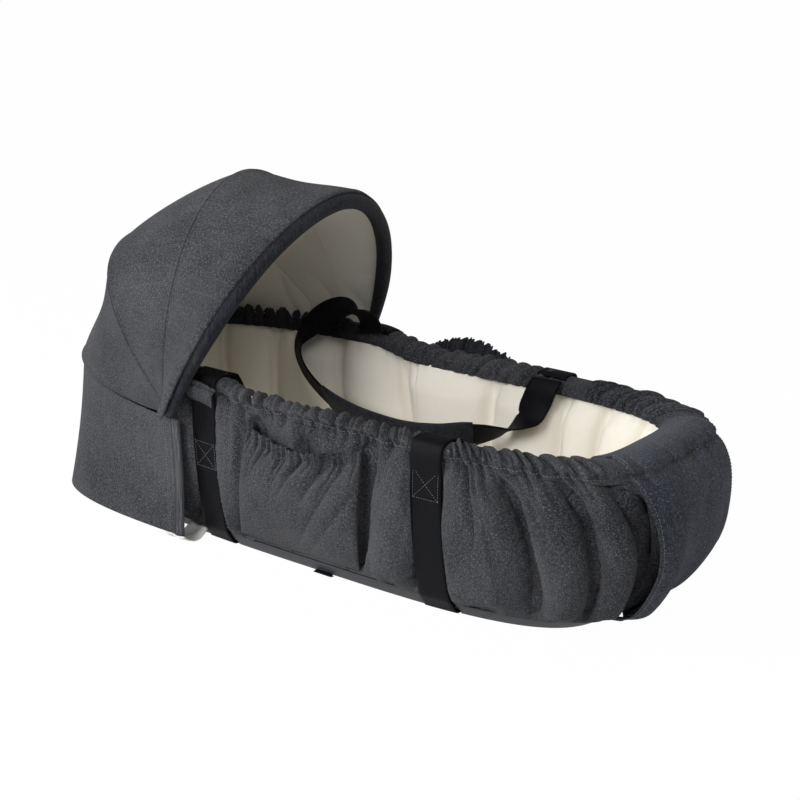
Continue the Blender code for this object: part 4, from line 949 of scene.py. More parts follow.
RUFFLE, RUFFLE_ROWS = rim_grid()
RUFFLE = head_rise(RUFFLE)
rim = cloth("gathered_rim", RUFFLE, DENIM, 0.0011, closed=True)
rim.data.materials.append(SHADED_DENIM)
middles = np.empty(len(rim.data.polygons) * 3)
rim.data.polygons.foreach_get("center", middles)
# Painted shade: the inner half of the casing at the head end, under the hood, takes the darker denim.
inner_half = np.arange(len(rim.data.polygons)) // RUFFLE.shape[1] >= int(np.argmax(RUFFLE_ROWS[:, 2]))
painted_shade_faces = inner_half & (middles[0::3] < HEAD_LEG_X + 0.004)
rim.data.polygons.foreach_set("material_index", painted_shade_faces.astype(np.int32))
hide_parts("rim_casing")
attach(rim, "nest")
print("rim:", len(rim.data.polygons), "faces, area", round(area_of(RUFFLE, True), 4))

# %% [markdown]
# Inside, the nest has a cream cotton lining, quilted in upright channels over the padding. Each channel is a soft
# pillow: deep between the seams, pulled flat at each seam, and gathered where the rim casing holds its top. The
# lining faces inwards, so its grid is turned to have its back towards the padding.

# %% Quilted lining
LINING_TOP = 0.1800
LINING_LOW = 0.0280
LINING_ROWS = 28
LINING_PITCH = 0.0056
LINING_PUFF = 0.0150
LINING_DEPTH = 0.0075
LINING_SEAMS_TOP = (0.335, 0.300, 0.240, 0.187, 0.084, -0.042, -0.139, -0.236, -0.300)
LINING_SEAMS_LOW = (0.336, 0.306, 0.255, 0.208, 0.104, -0.007, -0.128, -0.236, -0.300)


def t_of_x(shape, x):
    """Outline parameter, 0 to pi, where a rounded oblong passes x."""
    head, foot, _, square = shape
    part = (np.asarray(x, float) - (head + foot) / 2) / ((foot - head) / 2)
    power = square * np.where(part < 0, HEAD_ROUNDING, 1.0)
    return np.arccos(np.clip(signed_power(part, power / 2), -1, 1))


def lining_seams(z):
    part = np.clip((z - LINING_LOW) / (LINING_TOP - LINING_LOW), 0, 1)
    side = t_of_x(inner_shape(0.12), mix(np.array(LINING_SEAMS_LOW), np.array(LINING_SEAMS_TOP), part))
    return np.concatenate([[0.0], side, [math.pi], 2 * math.pi - side[::-1], [2 * math.pi]])


def lining_grid():
    """The channels before they settle, the smooth shape behind them, seam numbers and heights."""
    middle = lining_seams(0.1)
    turn = np.linspace(0, 2 * math.pi, 4001)
    x, y = outline(inner_shape(0.12), turn)
    run = running(np.hypot(np.diff(x), np.diff(y)))
    at = np.interp(middle, turn, run)
    counts = [max(5, round((b - a) / LINING_PITCH)) for a, b in zip(at, at[1:])]
    places = np.concatenate([np.linspace(a, b, n, endpoint=False) for a, b, n in zip(at, at[1:], counts)])
    columns = np.interp(places, run, turn)
    share = np.interp(columns, middle, np.arange(len(middle)))
    widths = np.interp(share, np.arange(len(counts)) + 0.5, np.diff(at))
    valley = 1 - np.abs(hump(share)) ** 0.55
    heights = np.linspace(LINING_LOW, LINING_TOP, LINING_ROWS)
    grid = np.empty((LINING_ROWS, len(columns), 3))
    smooth = np.empty_like(grid)
    for k, z in enumerate(heights):
        t = np.interp(columns, middle, lining_seams(z))
        puff = ease(0.026, 0.055, z) * (1 - 0.75 * ease(0.150, 0.178, z))
        deep = LINING_PUFF * (1 - valley) * np.clip(widths / 0.085, 0.45, 1.1) * puff - 0.0010
        for target, amount in ((grid, deep), (smooth, np.zeros_like(deep))):
            head, foot, half, square = inner_shape(z)
            c, s = np.cos(t), np.sin(t)
            power = 2 / (square * np.where(c < 0, HEAD_ROUNDING, 1.0))
            target[k, :, 0] = (head + foot) / 2 + (foot - head - 2 * amount) / 2 * signed_power(c, power)
            target[k, :, 1] = (half - amount) * signed_power(s, power)
            target[k, :, 2] = z
    return grid, smooth, share, heights


def settle_lining():
    grid, smooth, share, heights = lining_grid()
    seam = np.flatnonzero(np.abs(share - np.round(share)) < 1e-6)
    held = np.zeros(grid.shape[:2])
    held[0], held[-1] = 1.0, 1.0
    held[np.ix_((heights > 0.045) & (heights < 0.165), seam)] = 1.0
    spare = np.interp(heights, (0.028, 0.05, 0.11, 0.15, 0.18), (0.06, 0.08, 0.08, 0.12, 0.16))
    spare = np.repeat(spare[:, None], grid.shape[1], 1)
    found = settle(grid, held, spare, most=0.010, swell=46.0, outward=-1.0, seed=6)
    found, smooth = finer(found), finer(smooth)
    run = np.linspace(0, GIRTH, found.shape[1], endpoint=False)[None, :]
    z = found[..., 2]
    down, up = np.maximum(0.0, 0.179 - z), np.maximum(0.0, z - LINING_LOW)
    top = -creases(run, down, pitch=0.0150, seed=51, deep=0.0042, wide=0.0030, long=0.020)
    middle = -creases(run, down, pitch=0.075, seed=53, deep=0.0050, wide=0.0060, long=0.070, lean=(-0.5, 0.5))
    low = -creases(run, up, pitch=0.040, seed=55, deep=0.0030, wide=0.0050, long=0.030, lean=(-0.4, 0.4))
    numbers = np.append(share, np.round(share[-1] + 0.49))
    seam = np.interp(np.arange(found.shape[1]) / 2, np.arange(len(share) + 1), numbers)
    seam = np.abs(seam - np.round(seam))[None, :] * 0.085
    drawn = 0.0085 * np.exp(-seam / 0.0030) + 0.0040 * np.exp(-seam / 0.0120) - 0.0030 * (1 - ease(0.145, 0.170, z))
    top = top + drawn * ease(0.03, 0.05, z)
    return found + normals_of(found, True) * (top + middle + low)[..., None], smooth


LINING, LINING_SMOOTH = settle_lining()
LINING_BACK = head_rise(LINING_SMOOTH + normals_of(LINING_SMOOTH, True) * LINING_DEPTH)
LINING = head_rise(kept_out(LINING, LINING_SMOOTH, 0.0064, -1.0))
lining = cloth("quilted_lining", LINING, COTTON, closed=True, outward=-1.0, back=LINING_BACK)
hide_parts("wall_lining")
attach(lining, "nest")
print("lining:", LINING.shape[:2])

# %% [markdown]
# The mattress is a flat foam pad in a cotton cover. Rings of points go from the middle of its underside, round
# the soft edge, to the crown of its top; the two ends close in a fan.

# %% Mattress
def ringed(name, rings, finish):
    """A closed body from rings, with a fan of triangles at both ends."""
    rows, columns = rings.shape[:2]
    ends = rings[[0, -1]].mean(1)
    points = np.concatenate([rings.reshape(-1, 3), ends])
    faces, _, _ = quads_of(rows, columns, True)
    c = np.arange(columns)
    n = (c + 1) % columns
    last = (rows - 1) * columns
    tip = np.full(columns, rows * columns)
    parts = (faces, np.stack([n, c, tip], -1), np.stack([last + c, last + n, tip + 1], -1))
    corners = points[np.concatenate([part.reshape(-1) for part in parts])][:, :2]
    return piece(name, points, [face for part in parts for face in part.tolist()], corners, finish)


def plan_ring(shape, z, columns=200):
    x, y = outline(shape, turns(columns))
    return np.stack([x, y, np.full(columns, z)], -1)


PAD_LOW = 0.0099
PAD_RISE = 0.034
PAD_GAP = 0.0052
PAD_LEVELS = ((0.0, 0.060), (0.0, 0.016), (0.010, 0.006), (0.16, 0.001), (0.40, 0.0), (0.66, 0.0005), (0.86, 0.004),
              (0.97, 0.011), (1.02, 0.022), (1.08, 0.036), (1.13, 0.055), (1.16, 0.078), (1.17, 0.100))


def mattress_rings():
    rings = []
    for part, inset in PAD_LEVELS:
        z = PAD_LOW + PAD_RISE * part
        rings.append(plan_ring(grow(inner_shape(z), -PAD_GAP - inset), z))
    return np.array(rings)


pad = ringed("mattress_pad", mattress_rings(), COTTON)
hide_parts("mattress")
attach(pad, "nest")
print("mattress:", len(pad.data.polygons), "faces")

# %% [markdown]
# Over the foot end lies a separate cover of navy denim. Its two front edges hang from rim to base like a
# curtain, and the near one stands off the wall. It tucks over the rim, and stands clear of the puffed wall under it.

# %% Foot cover
CAP_PROFILE = (
    (0.0, 0.0026, 0.0065),
    (0.0, 0.0030, 0.0130),
    (0.0, 0.0042, 0.0230),
    (0.0, 0.0046, 0.0400),
    (0.0, 0.0040, 0.0700),
    (0.0, 0.0034, 0.1050),
    (0.0, 0.0030, 0.1400),
    (0.0, 0.0044, 0.1680),
    (0.0, 0.0056, 0.1820),
    (0.0, 0.0062, 0.1890),
    (0.06, 0.0050, 0.1945),
    (0.22, 0.0030, 0.1974),
    (0.42, 0.0, 0.1984),
    (0.62, 0.0, 0.1978),
    (0.82, 0.0030, 0.1950),
    (0.97, 0.0060, 0.1905),
    (1.0, 0.0078, 0.1850),
    (1.0, 0.0086, 0.1780),
    (1.0, 0.0086, 0.1660),
)
CAP_COLUMNS = 120
CAP_PITCH = 0.0030
NEAR_FLARE = 0.0150
FAR_FLARE = 0.0050


def cap_grid():
    """Rows of the cover from its hem, over the rim, to its inner edge; flare is how far the front edges stand off."""
    rows, _ = profile_rows(CAP_PROFILE, CAP_PITCH)
    grid = np.empty((len(rows), CAP_COLUMNS + 1, 3))
    share = np.linspace(-1, 1, CAP_COLUMNS + 1)
    for k, (over, out, z) in enumerate(rows):
        reach = mix(CAP_EDGE_LOW, CAP_EDGE_TOP, min(z, WALL_TOP) / WALL_TOP) if over == 0 else CAP_EDGE_TOP
        apart = np.abs(share)
        side = np.where(share < 0, NEAR_FLARE, FAR_FLARE) * ease(0.20, 0.72, apart)
        side = side * (1 - 0.40 * ease(0.80, 1.0, apart))
        side = side * (1 - ease(0.50, 0.94, apart) * (1 - ease(0.006, 0.030, z)))
        flare = side * (1 - ease(0.07, 0.178, z)) * (over == 0)
        along, down = (share + 1) * reach, max(0.0, 0.186 - z)
        fold = creases(along, down, pitch=0.030, seed=11, deep=0.0052, wide=0.0060, long=0.085, lean=(-0.3, 0.3))
        fold = fold * ease(0.01, 0.05, z)
        fold += creases(along, down, pitch=0.012, seed=13, deep=0.0026, wide=0.0022, long=0.022, lean=(-0.2, 0.2))
        fold += gathers(along + z * 0.3, 0.040, 15, ring=False) * 0.0022 * ease(0.02, 0.08, z)
        x, y = outline(row_shape(over, out, z), t_at(share * reach))
        hang = side * 0.30 * (1 - ease(0.01, 0.06, z))
        grid[k] = np.stack([x, y, z - hang], -1)
        slope = unit(np.stack([np.gradient(y), -np.gradient(x)], -1))
        grid[k, :, :2] += slope * (flare + fold * (over < 0.5))[:, None]
    return grid, rows


CAP, CAP_ROWS = cap_grid()
cap = cloth("foot_cover", CAP, NAVY_DENIM, 0.0016)
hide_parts("foot_cap")
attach(cap, "nest")
area_of(CAP)
print("foot cover:", CAP.shape[:2], round(area_of(CAP), 4), "m2")

# %% [markdown]
# A patch pocket is sewn on each long side. Its mouth is gathered on elastic, so the cloth below it bellies
# out and falls in slanting folds. The grid is laid on the side of the wall and lifted off it. The near mouth sags in
# its middle. The far one stands above the rim, where the photograph shows its ruffle.

# %% Pockets
POCKET_LOW = 0.0245
POCKET_TOP = 0.168
POCKET_ROWS = 84
POCKET_COLUMNS = 170
POCKET_BELLY = 0.0240
POCKET_SPAN = 0.18
POCKET_FALL = 0.15
SLOPE_STEP = 0.002
NEAR_SAG = 0.017
FAR_RAISE = 0.037


def on_wall(x, z, side, lift):
    """Points on the side of the wall, lifted off it along its slope."""
    shape = wall_shape(np.minimum(z, WALL_TOP))
    above = wall_shape(np.minimum(z + SLOPE_STEP, WALL_TOP + SLOPE_STEP))
    y = half_width(shape, x)
    tilt = (half_width(above, x) - y) / SLOPE_STEP
    slope = (half_width(shape, x + SLOPE_STEP) - half_width(shape, x - SLOPE_STEP)) / (2 * SLOPE_STEP)
    length = np.sqrt(1 + tilt ** 2 + slope ** 2)
    return np.stack([x - slope / length * lift, side * (y + lift / length), z - tilt / length * lift], -1)


def pocket_grid(side, raised, sag):
    u, v = shares(POCKET_COLUMNS, POCKET_ROWS)
    top = POCKET_TOP + 0.002 + raised * hump(u) ** 0.55 - sag * hump(u) ** 0.8
    x = mix(mix(-0.071, -0.041, v), mix(0.105, POCKET_FOOT_X, v), u)
    z = mix(POCKET_LOW, top, v)
    round_out = hump(u ** 0.9) ** 0.42 * np.sin(math.pi / 2 * np.minimum(1.0, v * 1.35)) ** 0.8
    lift = 0.0012 + POCKET_BELLY * round_out * (1 - 0.42 * ease(0.72, 0.93, v) + 0.10 * ease(0.93, 1.0, v))
    span, down = u * POCKET_SPAN, np.maximum(0.0, 0.90 - v) * POCKET_FALL
    edge = hump(u) ** 0.25
    fine = gathers(span, 0.0074, 21, 0.7, ring=False) * 0.0056 * ease(0.84, 0.95, v) * edge
    short = creases(span, down, pitch=0.0095, seed=25, deep=0.0085, wide=0.0018, long=0.040, lean=(0.05, 0.5))
    short = short * ease(0.30, 0.60, v)
    slant = creases(span, down, pitch=0.034, seed=27, deep=0.0165, wide=0.0060, long=0.125, lean=(0.25, 0.85))
    slant = slant * ease(0.10, 0.6, u) * ease(0.0, 0.15, v) * (1 - ease(0.90, 1.0, v) * 0.6)
    lift = np.maximum(0.0006, lift + fine + (short + slant) * edge)
    return on_wall(x, z + fine * 0.8 * ease(0.95, 1.0, v), side, lift)


for label, side in SIDES:
    grid = pocket_grid(side, 0.0, NEAR_SAG) if side < 0 else pocket_grid(side, FAR_RAISE, 0.0)
    pocket = cloth(label + "_pouch", grid, DENIM, 0.0016, outward=-side)
    # The inside and the edges of each pouch take the darker denim: painted shade.
    pocket.data.materials.append(SHADED_DENIM)
    face_cells = (POCKET_ROWS - 1) * (POCKET_COLUMNS - 1)
    inside = (np.arange(len(pocket.data.polygons)) >= face_cells).astype(np.int32)
    pocket.data.polygons.foreach_set("material_index", inside)
    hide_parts(label + "_pocket", label + "_pocket_casing")
    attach(pocket, "nest")
    print(label, "pouch area", round(area_of(grid), 4))

# %% [markdown]
# The hood has three sprung wires that turn about one pin on each side. Cloth is stretched from wire to wire,
# so every stretch is a smooth saddle, and the seams run along the wires. Each stretch of cloth crosses one joint.

# %% Shape of the hood
PIVOT = np.array((-0.1573, 0.0, 0.1568))
FRONT = (64.2, 0.2735, 0.1810, 1.9)
MID = (94.8, 0.2540, 0.1665, 1.87)
REAR = (133.8, 0.2388, 0.1598, 2.80)
BAND = (176.8, 0.2735, 0.1665, 1.9)
HOOD_ARC = 0.62
HOOD_WIDTH = 0.14
HOOD_ROWS = 34
HOOD_COLUMNS = 150
LINER_COLUMNS = 130
HOOD_START = 0.004
LINER_START = 0.030
LINER_INSET = 0.0062
SEAM_TUCK = 0.0016


def arch(shape, phi, ahead=0.0):
    """Points of a hood arch (angle, reach, half width, squareness); phi runs from the near pin to the far pin."""
    angle, reach, half, square = shape
    lean = np.radians(angle)
    high = reach * np.abs(np.sin(phi)) ** (2 / square)
    y = -half * signed_power(np.cos(phi), 2 / square)
    x = PIVOT[0] + ahead * np.sin(lean) + high * np.cos(lean)
    z = PIVOT[2] - ahead * np.cos(lean) + high * np.sin(lean)
    return np.stack(np.broadcast_arrays(x, y, z), -1)


def arch_steps(shape, start, share):
    first = np.arcsin((start / shape[1]) ** (shape[3] / 2))
    return mix(first, math.pi - first, share)


def stretch_of_hood(first, second, crown, inset, start, columns):
    """The saddle of cloth between two arches; crown is how far its middle stands out, or sinks where it is minus."""
    share, u = shares(columns, HOOD_ROWS)
    phi = mix(arch_steps(first, start, share), arch_steps(second, start, share), u)
    sag = crown * hump(u) * hump(share) ** 0.5
    angle, reach, half, square = (mix(a, b, u) for a, b in zip(first, second))
    return arch((angle, reach - inset + sag, half - inset + 0.35 * sag, square), phi)


def blend_by_angle(made):
    """Bake the transform of the piece into its points."""
    from_pins = points_of(made) - PIVOT
    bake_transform(made)


# %% Hood cloth
HOOD_PARTS = (
    ("front", FRONT, MID, -0.0128, "hood_front", "hood_mid"),
    ("mid", MID, REAR, -0.0064, "hood_mid", "hood_rear"),
    ("rear", REAR, BAND, -0.0270, "hood_rear", "nest"),
)
for label, first, second, crown, ahead_body, behind_body in HOOD_PARTS:
    outer = stretch_of_hood(first, second, crown, 0.0, HOOD_START, HOOD_COLUMNS)
    if label == "front":
        phi = arch_steps(FRONT, HOOD_START, np.linspace(0, 1, HOOD_COLUMNS))
        over = (FRONT[0], FRONT[1] + 0.0016, FRONT[2] + 0.0006, FRONT[3])
        flange = [arch(over, phi, ahead) for ahead in (0.0090, 0.0060, 0.0030)]
        outer = np.concatenate([np.array(flange), outer])
    inner = stretch_of_hood(first, second, crown, LINER_INSET, LINER_START, LINER_COLUMNS)
    inward = normals_of(outer)
    for row in ([-1] if label == "front" else [0, -1]):
        outer[row] += inward[row] * SEAM_TUCK
    share, u = shares(LINER_COLUMNS, HOOD_ROWS)
    wrinkle = creases(share * HOOD_ARC, u * HOOD_WIDTH, pitch=0.055, seed=len(label) + 71, deep=0.0042, wide=0.0055,
                      long=0.120, lean=(-0.9, 0.9))
    inner -= normals_of(inner) * (wrinkle * hump(u) ** 0.4)[..., None]
    skin = cloth(label + "_hood_cloth", outer, DENIM, 0.0016, outward=-1.0)
    liner = cloth(label + "_hood_liner", inner, HOOD_COTTON, 0.0010, outward=1.0)
    for made, node, slot_name, grid in (
        (skin, label + "_hood_panel", "denim", outer),
        (liner, label + "_hood_lining", "hood_cream", inner),
    ):
        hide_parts(node)
        blend_by_angle(made)
        area_of(grid) / 0.58
        area_of(grid)
    print(label, "hood cloth", round(area_of(outer), 4), "m2")

# %% [markdown]
# Below the pins the hood ends in a skirt that wraps the outside of the head end. It is sewn along its top to the
# rear stretch of the hood, and it hangs almost plumb.

# %% Hood skirt
SKIRT_FRONT_X = -0.1490
SKIRT_LOW = 0.0106
SKIRT_HOLLOW = 0.0030
HEM = (-0.4142, -0.011, 0.1662, 4.07)


def skirt_top(part):
    flat = SKIRT_FRONT_X - PIVOT[0]
    run = flat * 2 + HOOD_ARC
    walk = part * run
    phi = math.pi * np.clip((walk - flat) / HOOD_ARC, 0, 1)
    top = arch(BAND, phi)
    top[..., 2] -= mix(0.0035, 0.0004, np.sin(phi))
    top[..., 0] += np.maximum(0.0, flat - walk) + np.maximum(0.0, walk - run + flat)
    return top


def skirt_bottom(part):
    head, centre, half, square = HEM
    reach = centre - head
    first = math.acos(-((abs((SKIRT_FRONT_X - centre) / reach)) ** (square / 2)))
    t = mix(-first, first - 2 * math.pi, part)
    return np.stack([
        centre + reach * signed_power(np.cos(t), 2 / square),
        half * signed_power(np.sin(t), 2 / square),
        np.full_like(t, SKIRT_LOW),
    ], -1)


def even_curve(curve, count):
    fine = curve(np.linspace(0, 1, 3001))
    run = running(np.linalg.norm(np.diff(fine, axis=0), axis=1))
    places = np.linspace(0, run[-1], count)
    return np.stack([np.interp(places, run, fine[:, k]) for k in range(3)], -1)


def skirt_grid(rows=44, columns=210):
    top, low = even_curve(skirt_top, columns), even_curve(skirt_bottom, columns)
    v = np.linspace(0, 1, rows)[:, None, None]
    grid = mix(low, top, v)
    behind = np.where(top[:, 0] < PIVOT[0], top[:, 0] - PIVOT[0], 0.0)
    out = unit(np.stack([behind, top[:, 1], np.zeros(columns)], -1))
    return grid - out * SKIRT_HOLLOW * hump(v)


SKIRT = skirt_grid()
skirt = cloth("hood_skirt_cloth", SKIRT, DENIM, 0.0018, outward=-1.0)
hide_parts("hood_skirt")
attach(skirt, "nest")
print("skirt area", round(area_of(SKIRT), 4))

# %% [markdown]
# The mouth of the hood has a padded edge: a roll of denim, darker by painted shade, round soft cord, sewn to the cloth
# along the front wire. It is a tube swept along the arch, nearly round, and slimmer towards its ends.

# %% Padded edge of the mouth
BINDING_DEPTH = 0.018
BINDING_HALF = 0.0094


def swept(name, path, side, wide, deep, finish, around=20, power=0.85):
    """A closed bar along a path, with a rounded section: wide along side, and deep across."""
    along = unit(np.gradient(path, axis=0))
    side = np.broadcast_to(side, path.shape)
    up = unit(np.cross(along, side))
    turn = turns(around)[None, :, None]
    across = side[:, None] * wide * signed_power(np.cos(turn), power)
    return ringed(name, path[:, None] + (across + up[:, None] * deep * signed_power(np.sin(turn), power)), finish)


EDGE_ARCH = (FRONT[0], 0.2655, 0.1729, 1.9)
EDGE_AHEAD = 0.0105
EDGE_STEPS = 130
lean = math.radians(FRONT[0])
edge_side = np.array((math.sin(lean), 0.0, -math.cos(lean)))
edge_path = arch(EDGE_ARCH, arch_steps(EDGE_ARCH, 0.010, np.linspace(0, 1, EDGE_STEPS)), EDGE_AHEAD)
ends = np.minimum(np.arange(EDGE_STEPS), np.arange(EDGE_STEPS)[::-1])
slim = (0.55 + 0.45 * ease(0, 22, ends))[:, None, None]
edge = swept("mouth_edge", edge_path, edge_side, BINDING_HALF * slim, BINDING_DEPTH / 2 * slim, SHADED_DENIM)
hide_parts("front_binding")
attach(edge, "hood_front")
print("mouth edge:", len(edge.data.polygons), "faces")

# %% [markdown]
# The rear wire is bent squarer and shorter than the other two. Its ends are coiled once round the pins.

# %% Rear wire
WIRE = 0.0013
WIRE_INSET = 0.0040
WIRE_STEPS = 160
EYE_RADIUS = 0.0043
EYE_GAP = 0.0054
EYE_BEND = 0.028
EYE_STEPS = 28
ROUND = 10


def tube(name, path, radius, finish):
    """A round bar along any path: its frame is carried from point to point without a twist."""
    along = unit(np.gradient(path, axis=0))
    side = np.empty_like(path)
    side[0] = np.cross(along[0], (0.3, 1.0, 0.2))
    for k in range(len(path)):
        carried = side[max(k - 1, 0)]
        carried = carried - along[k] * (carried @ along[k])
        side[k] = carried / np.linalg.norm(carried)
    up = np.cross(along, side)
    turn = turns(ROUND)[None, :, None]
    return ringed(name, path[:, None] + radius * (side[:, None] * np.cos(turn) + up[:, None] * np.sin(turn)), finish)


def rear_wire_path():
    shape = (REAR[0], REAR[1] - WIRE_INSET, REAR[2] - WIRE_INSET, REAR[3])
    bow = arch(shape, arch_steps(shape, EYE_RADIUS, np.linspace(0, 1, WIRE_STEPS)))
    eye = float(half_width(wall_shape(PIVOT[2]), PIVOT[0])) + EYE_GAP
    rise = np.hypot(bow[:, 0] - PIVOT[0], bow[:, 2] - PIVOT[2])
    bow[:, 1] -= np.sign(bow[:, 1]) * (shape[2] - eye) * np.exp(-((rise / EYE_BEND) ** 2))
    turn = math.radians(REAR[0]) + np.linspace(math.radians(330), math.radians(12), EYE_STEPS)
    x, z = PIVOT[0] + EYE_RADIUS * np.cos(turn), PIVOT[2] + EYE_RADIUS * np.sin(turn)
    coil = np.stack([x, np.full(EYE_STEPS, -eye), z], -1)
    return np.concatenate([coil, bow, coil[::-1] * (1, -1, 1)])


hoop = tube("rear_hoop", rear_wire_path(), WIRE, STEEL)
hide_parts("rear_wire")
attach(hoop, "hood_rear")
print("rear wire:", len(hoop.data.polygons), "faces")

# %% [markdown]
# The base is a shallow tray of close dark cloth over a stiff board. Its flared band shows as a dark line under the
# puffed wall. Two grooves under it leave room for the webbing.

# %% Base tray and what is hidden in the wall
TRAY = ((0.0, 0.060, 0.0), (0.0, 0.012, 0.0), (0.0, 0.0012, 0.0002), (0.0, 0.0, 0.0016), (0.4, 0.0004, 0.0),
        (0.7, 0.0005, 0.0), (0.93, 0.0002, 0.0), (1.0, -0.0006, 0.0), (1.0, -0.0022, 0.0003), (1.0, -0.0100, 0.0006))
TRAY_INSIDE = ((0.014, 0.0110), (0.006, 0.0112), (0.0052, 0.014), (0.005, 0.05))
TRAY_COLUMNS = 560
PADDING_COLUMNS = 240
ELASTIC_HEIGHTS = np.linspace(0.1845, 0.1905, 4)
GROOVE = 0.0030


def tray_rings():
    """Rings of share of the band, inset and lift outside, and of height and inset inside."""
    angles = turns(TRAY_COLUMNS)
    rings = []
    for part, inset, lift in TRAY:
        z = BAND_HEIGHT * part
        x, y = outline(grow(band_shape(z), -abs(inset)), angles)
        groove = GROOVE * (1 - ease(0.0192, 0.0205, from_strap(x))) * (np.abs(y) > 0.05)
        rings.append(np.stack([x, y - np.sign(y) * groove, (z + lift) + groove * (part < 0.1)], -1))
    for depth, inset in TRAY_INSIDE:
        rings.append(plan_ring(grow(band_shape(depth), -inset), depth, TRAY_COLUMNS))
    return np.array(rings)


tray = ringed("base_tray", tray_rings(), BASE_CLOTH)
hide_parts("base_cover")
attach(tray, "nest")


def padding():
    """The wadding between denim and lining, and the flat elastic in the rim casing."""
    heights = np.linspace(0.0175, 0.1770, 20)
    count = PADDING_COLUMNS
    face = np.array([plan_ring(grow(wall_shape(z), -wall_back(z) - 0.0006), z, count) for z in heights])
    back = np.array([plan_ring(grow(inner_shape(z), 0.0085), z, count) for z in heights])
    made = cloth("loose_wadding", head_rise(face), WADDING, closed=True, back=head_rise(back))
    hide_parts("wall_wadding")
    outer, inner = grow(wall_shape(WALL_TOP), -0.006), grow(inner_shape(WALL_TOP), 0.004)
    band = np.array([(plan_ring(outer, z, count) + plan_ring(inner, z, count)) / 2 for z in ELASTIC_HEIGHTS])
    elastic = cloth("flat_elastic", head_rise(band), ELASTIC, 0.0015, closed=True)
    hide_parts("rim_elastic")
    for item in (made, elastic):
        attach(item, "nest")


padding()
print("tray, wadding and elastic in place")

# %% [markdown]
# Two straps of black webbing carry the nest. Each runs from one rim down the side, under the base and up the other
# side, and a handle is sewn to both ends on each side. Webbing keeps its width, so it is modelled directly: rows of
# points across the strap, set along a smooth curve.

# %% Slings
WEB_WIDTH = 0.038
WEB_THICKNESS = 0.0020
ACROSS = np.linspace(-WEB_WIDTH / 2, WEB_WIDTH / 2, 11)
SLING_INNER_Y = float(half_width(inner_shape(WALL_TOP), FOOT_LEG_X)) + 0.0050
STRAP_LIFT = 0.0006
STRAP_TOP = 0.1938
STRAP_SHOULDER = 0.1764
FAR_LEAN_FOOT = -0.029
FAR_LEAN_HEAD = 0.027


def through(points, steps):
    """A smooth curve through rows of points, with the same number of steps in each span."""
    p = np.concatenate([points[:1], points, points[-1:]])
    u = np.linspace(0, 1, steps, endpoint=False).reshape(-1, *([1] * (points.ndim - 1)))
    spans = [
        0.5 * (2 * b + (c - a) * u + (2 * a - 5 * b + 4 * c - d) * u ** 2 + (3 * b - a - 3 * c + d) * u ** 3)
        for a, b, c, d in zip(p, p[1:], p[2:], p[3:])
    ]
    return np.concatenate(spans + [points[-1:]])


def strap_side(x, side, lean):
    """Rows of a strap from the inner end on the rim to the underside of the base."""
    upright = x + ACROSS
    across = upright + lean
    rows = []
    for y, z in (
        (np.full_like(across, SLING_INNER_Y), STRAP_TOP - 0.0024),
        (half_width(inner_shape(WALL_TOP), across) + 0.0020, STRAP_TOP + 0.0012),
        (half_width(wall_shape(WALL_TOP), across) - 0.0010, STRAP_TOP + 0.0009),
        (half_width(wall_shape(WALL_TOP), across) + 0.0047, WALL_TOP + 0.0035),
        (half_width(wall_shape(STRAP_SHOULDER), across) + 0.0042, STRAP_SHOULDER),
    ):
        rows.append(np.stack([across, side * y, np.full_like(across, z)], -1))
    for z in (0.160, 0.145, 0.130, 0.112, 0.095, 0.078, 0.060, 0.045, 0.034, 0.0208):
        across = upright + lean * float(ease(0.040, 0.180, z))
        rows.append(on_wall(across, np.full_like(across, z), side, STRAP_LIFT))
    for z in (0.0150, 0.0110, 0.0065, 0.0036):
        y = half_width(band_shape(z), across) + STRAP_LIFT
        rows.append(np.stack([across, side * y, np.full_like(across, z)], -1))
    for y, z in ((0.9905, 0.0021), (0.960, 0.0020), (0.85, 0.0020), (0.5, 0.0020)):
        rows.append(np.stack([across, side * half_width(band_shape(0.0), across) * y, np.full_like(across, z)], -1))
    return np.array(rows)


def strap_grid(x):
    near, far = strap_side(x, -1.0, 0.0), strap_side(x, 1.0, FAR_LEAN_FOOT if x > 0 else FAR_LEAN_HEAD)
    centre = np.stack([x + ACROSS, 0 * ACROSS, np.full_like(ACROSS, 0.0020)], -1)[None]
    return head_rise(through(np.concatenate([near, centre, far[::-1]]), 4))


def strap(name, x, node):
    grid = strap_grid(x)
    outer = grid + normals_of(grid) * -WEB_THICKNESS
    made = cloth(name, outer, WEBBING, back=grid)
    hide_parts(node)
    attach(made, "nest")
    area_of(grid) / WEB_WIDTH
    print(name, "is", round(area_of(grid) / WEB_WIDTH, 3), "m long")


strap("head_strap", HEAD_LEG_X, "head_sling")
strap("foot_strap", FOOT_LEG_X, "foot_sling")
